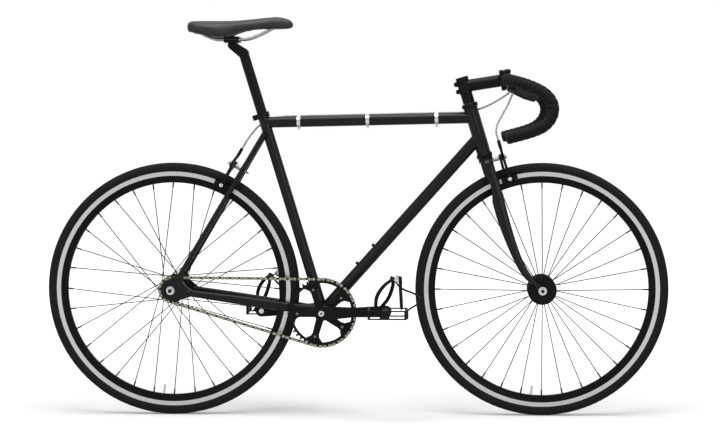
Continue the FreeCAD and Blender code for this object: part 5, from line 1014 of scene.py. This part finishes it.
# corners of the loop: out from the pedal's middle, up and ahead, in metres. The outer side sags back
STRAP_LOOP = (
    (0.0, -0.0045, 0.0),
    (0.047, -0.0045, 0.0),
    (0.048, 0.016, -0.010),
    (0.049, 0.045, -0.021),
    (0.047, 0.078, -0.015),
    (0.031, 0.101, 0.0),
    (0.0, 0.101, 0.0),
    (-0.029, 0.101, 0.0),
    (-0.047, 0.082, 0.008),
    (-0.047, 0.045, 0.012),
    (-0.047, 0.016, 0.003),
    (-0.047, -0.0045, 0.0),
)
# a ribbon's section: across and through, as shares of its half width and half thickness
RIBBON = (
    (-1, -0.4),
    (-0.94, -1),
    (0.94, -1),
    (1, -0.4),
    (1, 0.4),
    (0.94, 1),
    (-0.94, 1),
    (-1, 0.4),
    (-1, -0.4),
)
# how wide a ribbon still is at the end of its tapered point, as a share
TIP_WIDTH = 0.3


def ribbon(name, line, across, half_width, half_thickness, columns, point=0.0):
    """A flat strap along a line; across stays the way its width points, point is a tapered share."""
    length, place = walk(line, across)
    piece = start_grid(name, columns, len(RIBBON) - 1)
    for vertex in piece.data.vertices:
        wide, thick = RIBBON[round(vertex.co.y * (len(RIBBON) - 1))]
        middle, heading, _, _ = place(vertex.co.x * length)
        over = heading.cross(across).normalized()
        left = 1 - vertex.co.x
        narrow = TIP_WIDTH + (1 - TIP_WIDTH) * left / point if left < point else 1.0
        vertex.co = middle + across * wide * half_width * narrow + over * thick * half_thickness
    return close_up(piece, 50)


print("straps", round(2 * STRAP_HALF_WIDTH * 1000), "mm wide")

# %% Strap buckles and tails
# ahead of the pedal's axis, out from its middle and up, in metres
BUCKLE_PLACE = (0.0345, 0.0365, 0.0945)
BUCKLE_SIZE = (0.015, 0.004, 0.017, 1)
BUCKLE_RIM = 0.0028
BUCKLE_DEPTH = 0.0022
BUCKLE_EDGE = 0.0006
# the strap's free end, measured as the buckle is
STRAP_TAIL = (
    (0.0400, 0.0395, 0.101),
    (0.0415, 0.0400, 0.090),
    (0.0410, 0.0425, 0.070),
    (0.0430, 0.0420, 0.042),
    (0.0440, 0.0415, 0.014),
)
TAIL_HALF_WIDTH = 0.0045
TAIL_HALF_THICKNESS = 0.0009
TAIL_STEPS = 60
TAIL_POINT = 0.10


def buckle_frame(name, middle, out):
    """A pressed buckle: a plate whose face is let in within a rim, with its edges eased."""
    bpy.ops.object.select_all(action="DESELECT")
    bpy.ops.mesh.primitive_cube_add(size=1)
    buckle = bpy.context.object
    buckle.name = name
    turn = Matrix((STRAP_AHEAD, out, STRAP_UP)).transposed().to_4x4()
    buckle.data.transform(Matrix.Translation(middle) @ turn @ Matrix.Diagonal(BUCKLE_SIZE))
    bpy.ops.object.mode_set(mode="EDIT")
    bpy.ops.mesh.select_all(action="DESELECT")
    bpy.ops.object.mode_set(mode="OBJECT")
    for face in buckle.data.polygons:
        face.select = face.normal.dot(out) > 0.9
    bpy.ops.object.mode_set(mode="EDIT")
    bpy.ops.mesh.inset(thickness=BUCKLE_RIM)
    bpy.ops.mesh.extrude_region_move(TRANSFORM_OT_translate={"value": out * -BUCKLE_DEPTH})
    bpy.ops.object.mode_set(mode="OBJECT")
    apply_modifier(buckle, "BEVEL", width=BUCKLE_EDGE, segments=2)
    return close_up(buckle, 35)


print("buckles", round(BUCKLE_SIZE[2] * 1000), "mm high")

# %% Both straps
for hand, side in HANDS:
    out = Vector((0, side, 0))
    middle = Vector(JOINTS[f"{hand}_pedal_spin"]["pos_m"]) + out * PEDAL_MIDDLE
    origin = middle - Vector((STRAP_SETBACK, 0, 0))
    corners = [
        origin + out * wide + STRAP_UP * rise + STRAP_AHEAD * ahead
        for wide, rise, ahead in STRAP_LOOP
    ]
    strap = ribbon(
        f"{hand}_toe_strap_loop",
        smooth_line(corners, True),
        STRAP_AHEAD,
        STRAP_HALF_WIDTH,
        STRAP_HALF_THICKNESS,
        STRAP_STEPS,
    )
    dress(strap, webbing, f"{hand}_pedal_body", "strap", f"{hand}_toe_strap")
    buckle_place, *tail_places = [
        middle + Vector((ahead, side * wide, rise))
        for ahead, wide, rise in (BUCKLE_PLACE, *STRAP_TAIL)
    ]
    buckle = buckle_frame(f"{hand}_strap_buckle", buckle_place, out)
    dress(buckle, plated_steel, f"{hand}_pedal_body", "steel")
    tail = ribbon(
        f"{hand}_strap_tail",
        smooth_line(tail_places),
        Vector((1, 0, 0)),
        TAIL_HALF_WIDTH,
        TAIL_HALF_THICKNESS,
        TAIL_STEPS,
        TAIL_POINT,
    )
    dress(tail, webbing, f"{hand}_pedal_body", "strap")
    print(hand, "strap", len(strap.data.polygons), "faces, tail", len(tail.data.polygons))

# %% [markdown]
# ## Toe clips
# The clips are moulded in nylon round a steel spring, so their strips are fuller than the bare steel
# of the solid. They could be drawn anew along the spring's line, but a merged copy of the solid,
# pushed out along its normals by the thickness of the nylon, keeps every bend of the clip.

# %% Toe clips
CLIP_NYLON = 0.0011

for hand, _ in HANDS:
    clip = copy_of(f"{hand}_toe_clip", f"{hand}_clip_moulding")
    apply_modifier(clip, "DISPLACE", strength=CLIP_NYLON, mid_level=0.0)
    dress(clip, moulded_nylon, f"{hand}_pedal_body", "pedal_plastic", f"{hand}_toe_clip")
    print(hand, "clip", len(clip.data.polygons), "faces")

# %% [markdown]
# ## The loose cable at the head tube
# The rear brake's cable swings with the handlebar at one end and is clipped to the top tube at the
# other, so this stretch bends as the bar turns. The solid would have to follow one of the two, so it
# gives way to one smooth tube along the same route.

# %% Cable loop
CABLE_ROUTE = (
    (0.41518, 0.0447, 0.86754),
    (0.41518, 0.0280, 0.86754),
    (0.40848, 0.0137, 0.86154),
    (0.39518, 0.0055, 0.85154),
    (0.37318, 0.0070, 0.83704),
    (0.34218, 0.0174, 0.82054),
    (0.30618, 0.0280, 0.80854),
    (0.27418, 0.0210, 0.80454),
    (0.24289, 0.00721, 0.80527),
    (0.21889, 0.00721, 0.80475),
)
CABLE_RADIUS = 0.0025
CABLE_STEPS = 120
CABLE_SIDES = 16


def tube(name, line, radius, columns, sides):
    """A round tube along a line."""
    length, place = walk(line, UP)
    piece = start_grid(name, columns, sides)
    for vertex in piece.data.vertices:
        middle, _, across, over = place(vertex.co.x * length)
        angle = 2 * math.pi * vertex.co.y
        vertex.co = middle + (across * math.cos(angle) + over * math.sin(angle)) * radius
    return close_up(piece)


loop_line = smooth_line([Vector(point) for point in CABLE_ROUTE])
cable_loop = tube("rear_cable_bend", loop_line, CABLE_RADIUS, CABLE_STEPS, CABLE_SIDES)
cable_loop.data.materials.append(housing)
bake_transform(cable_loop)
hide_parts("rear_cable_loop")
print("cable loop", round(walk(loop_line, UP)[0], 3), "m")
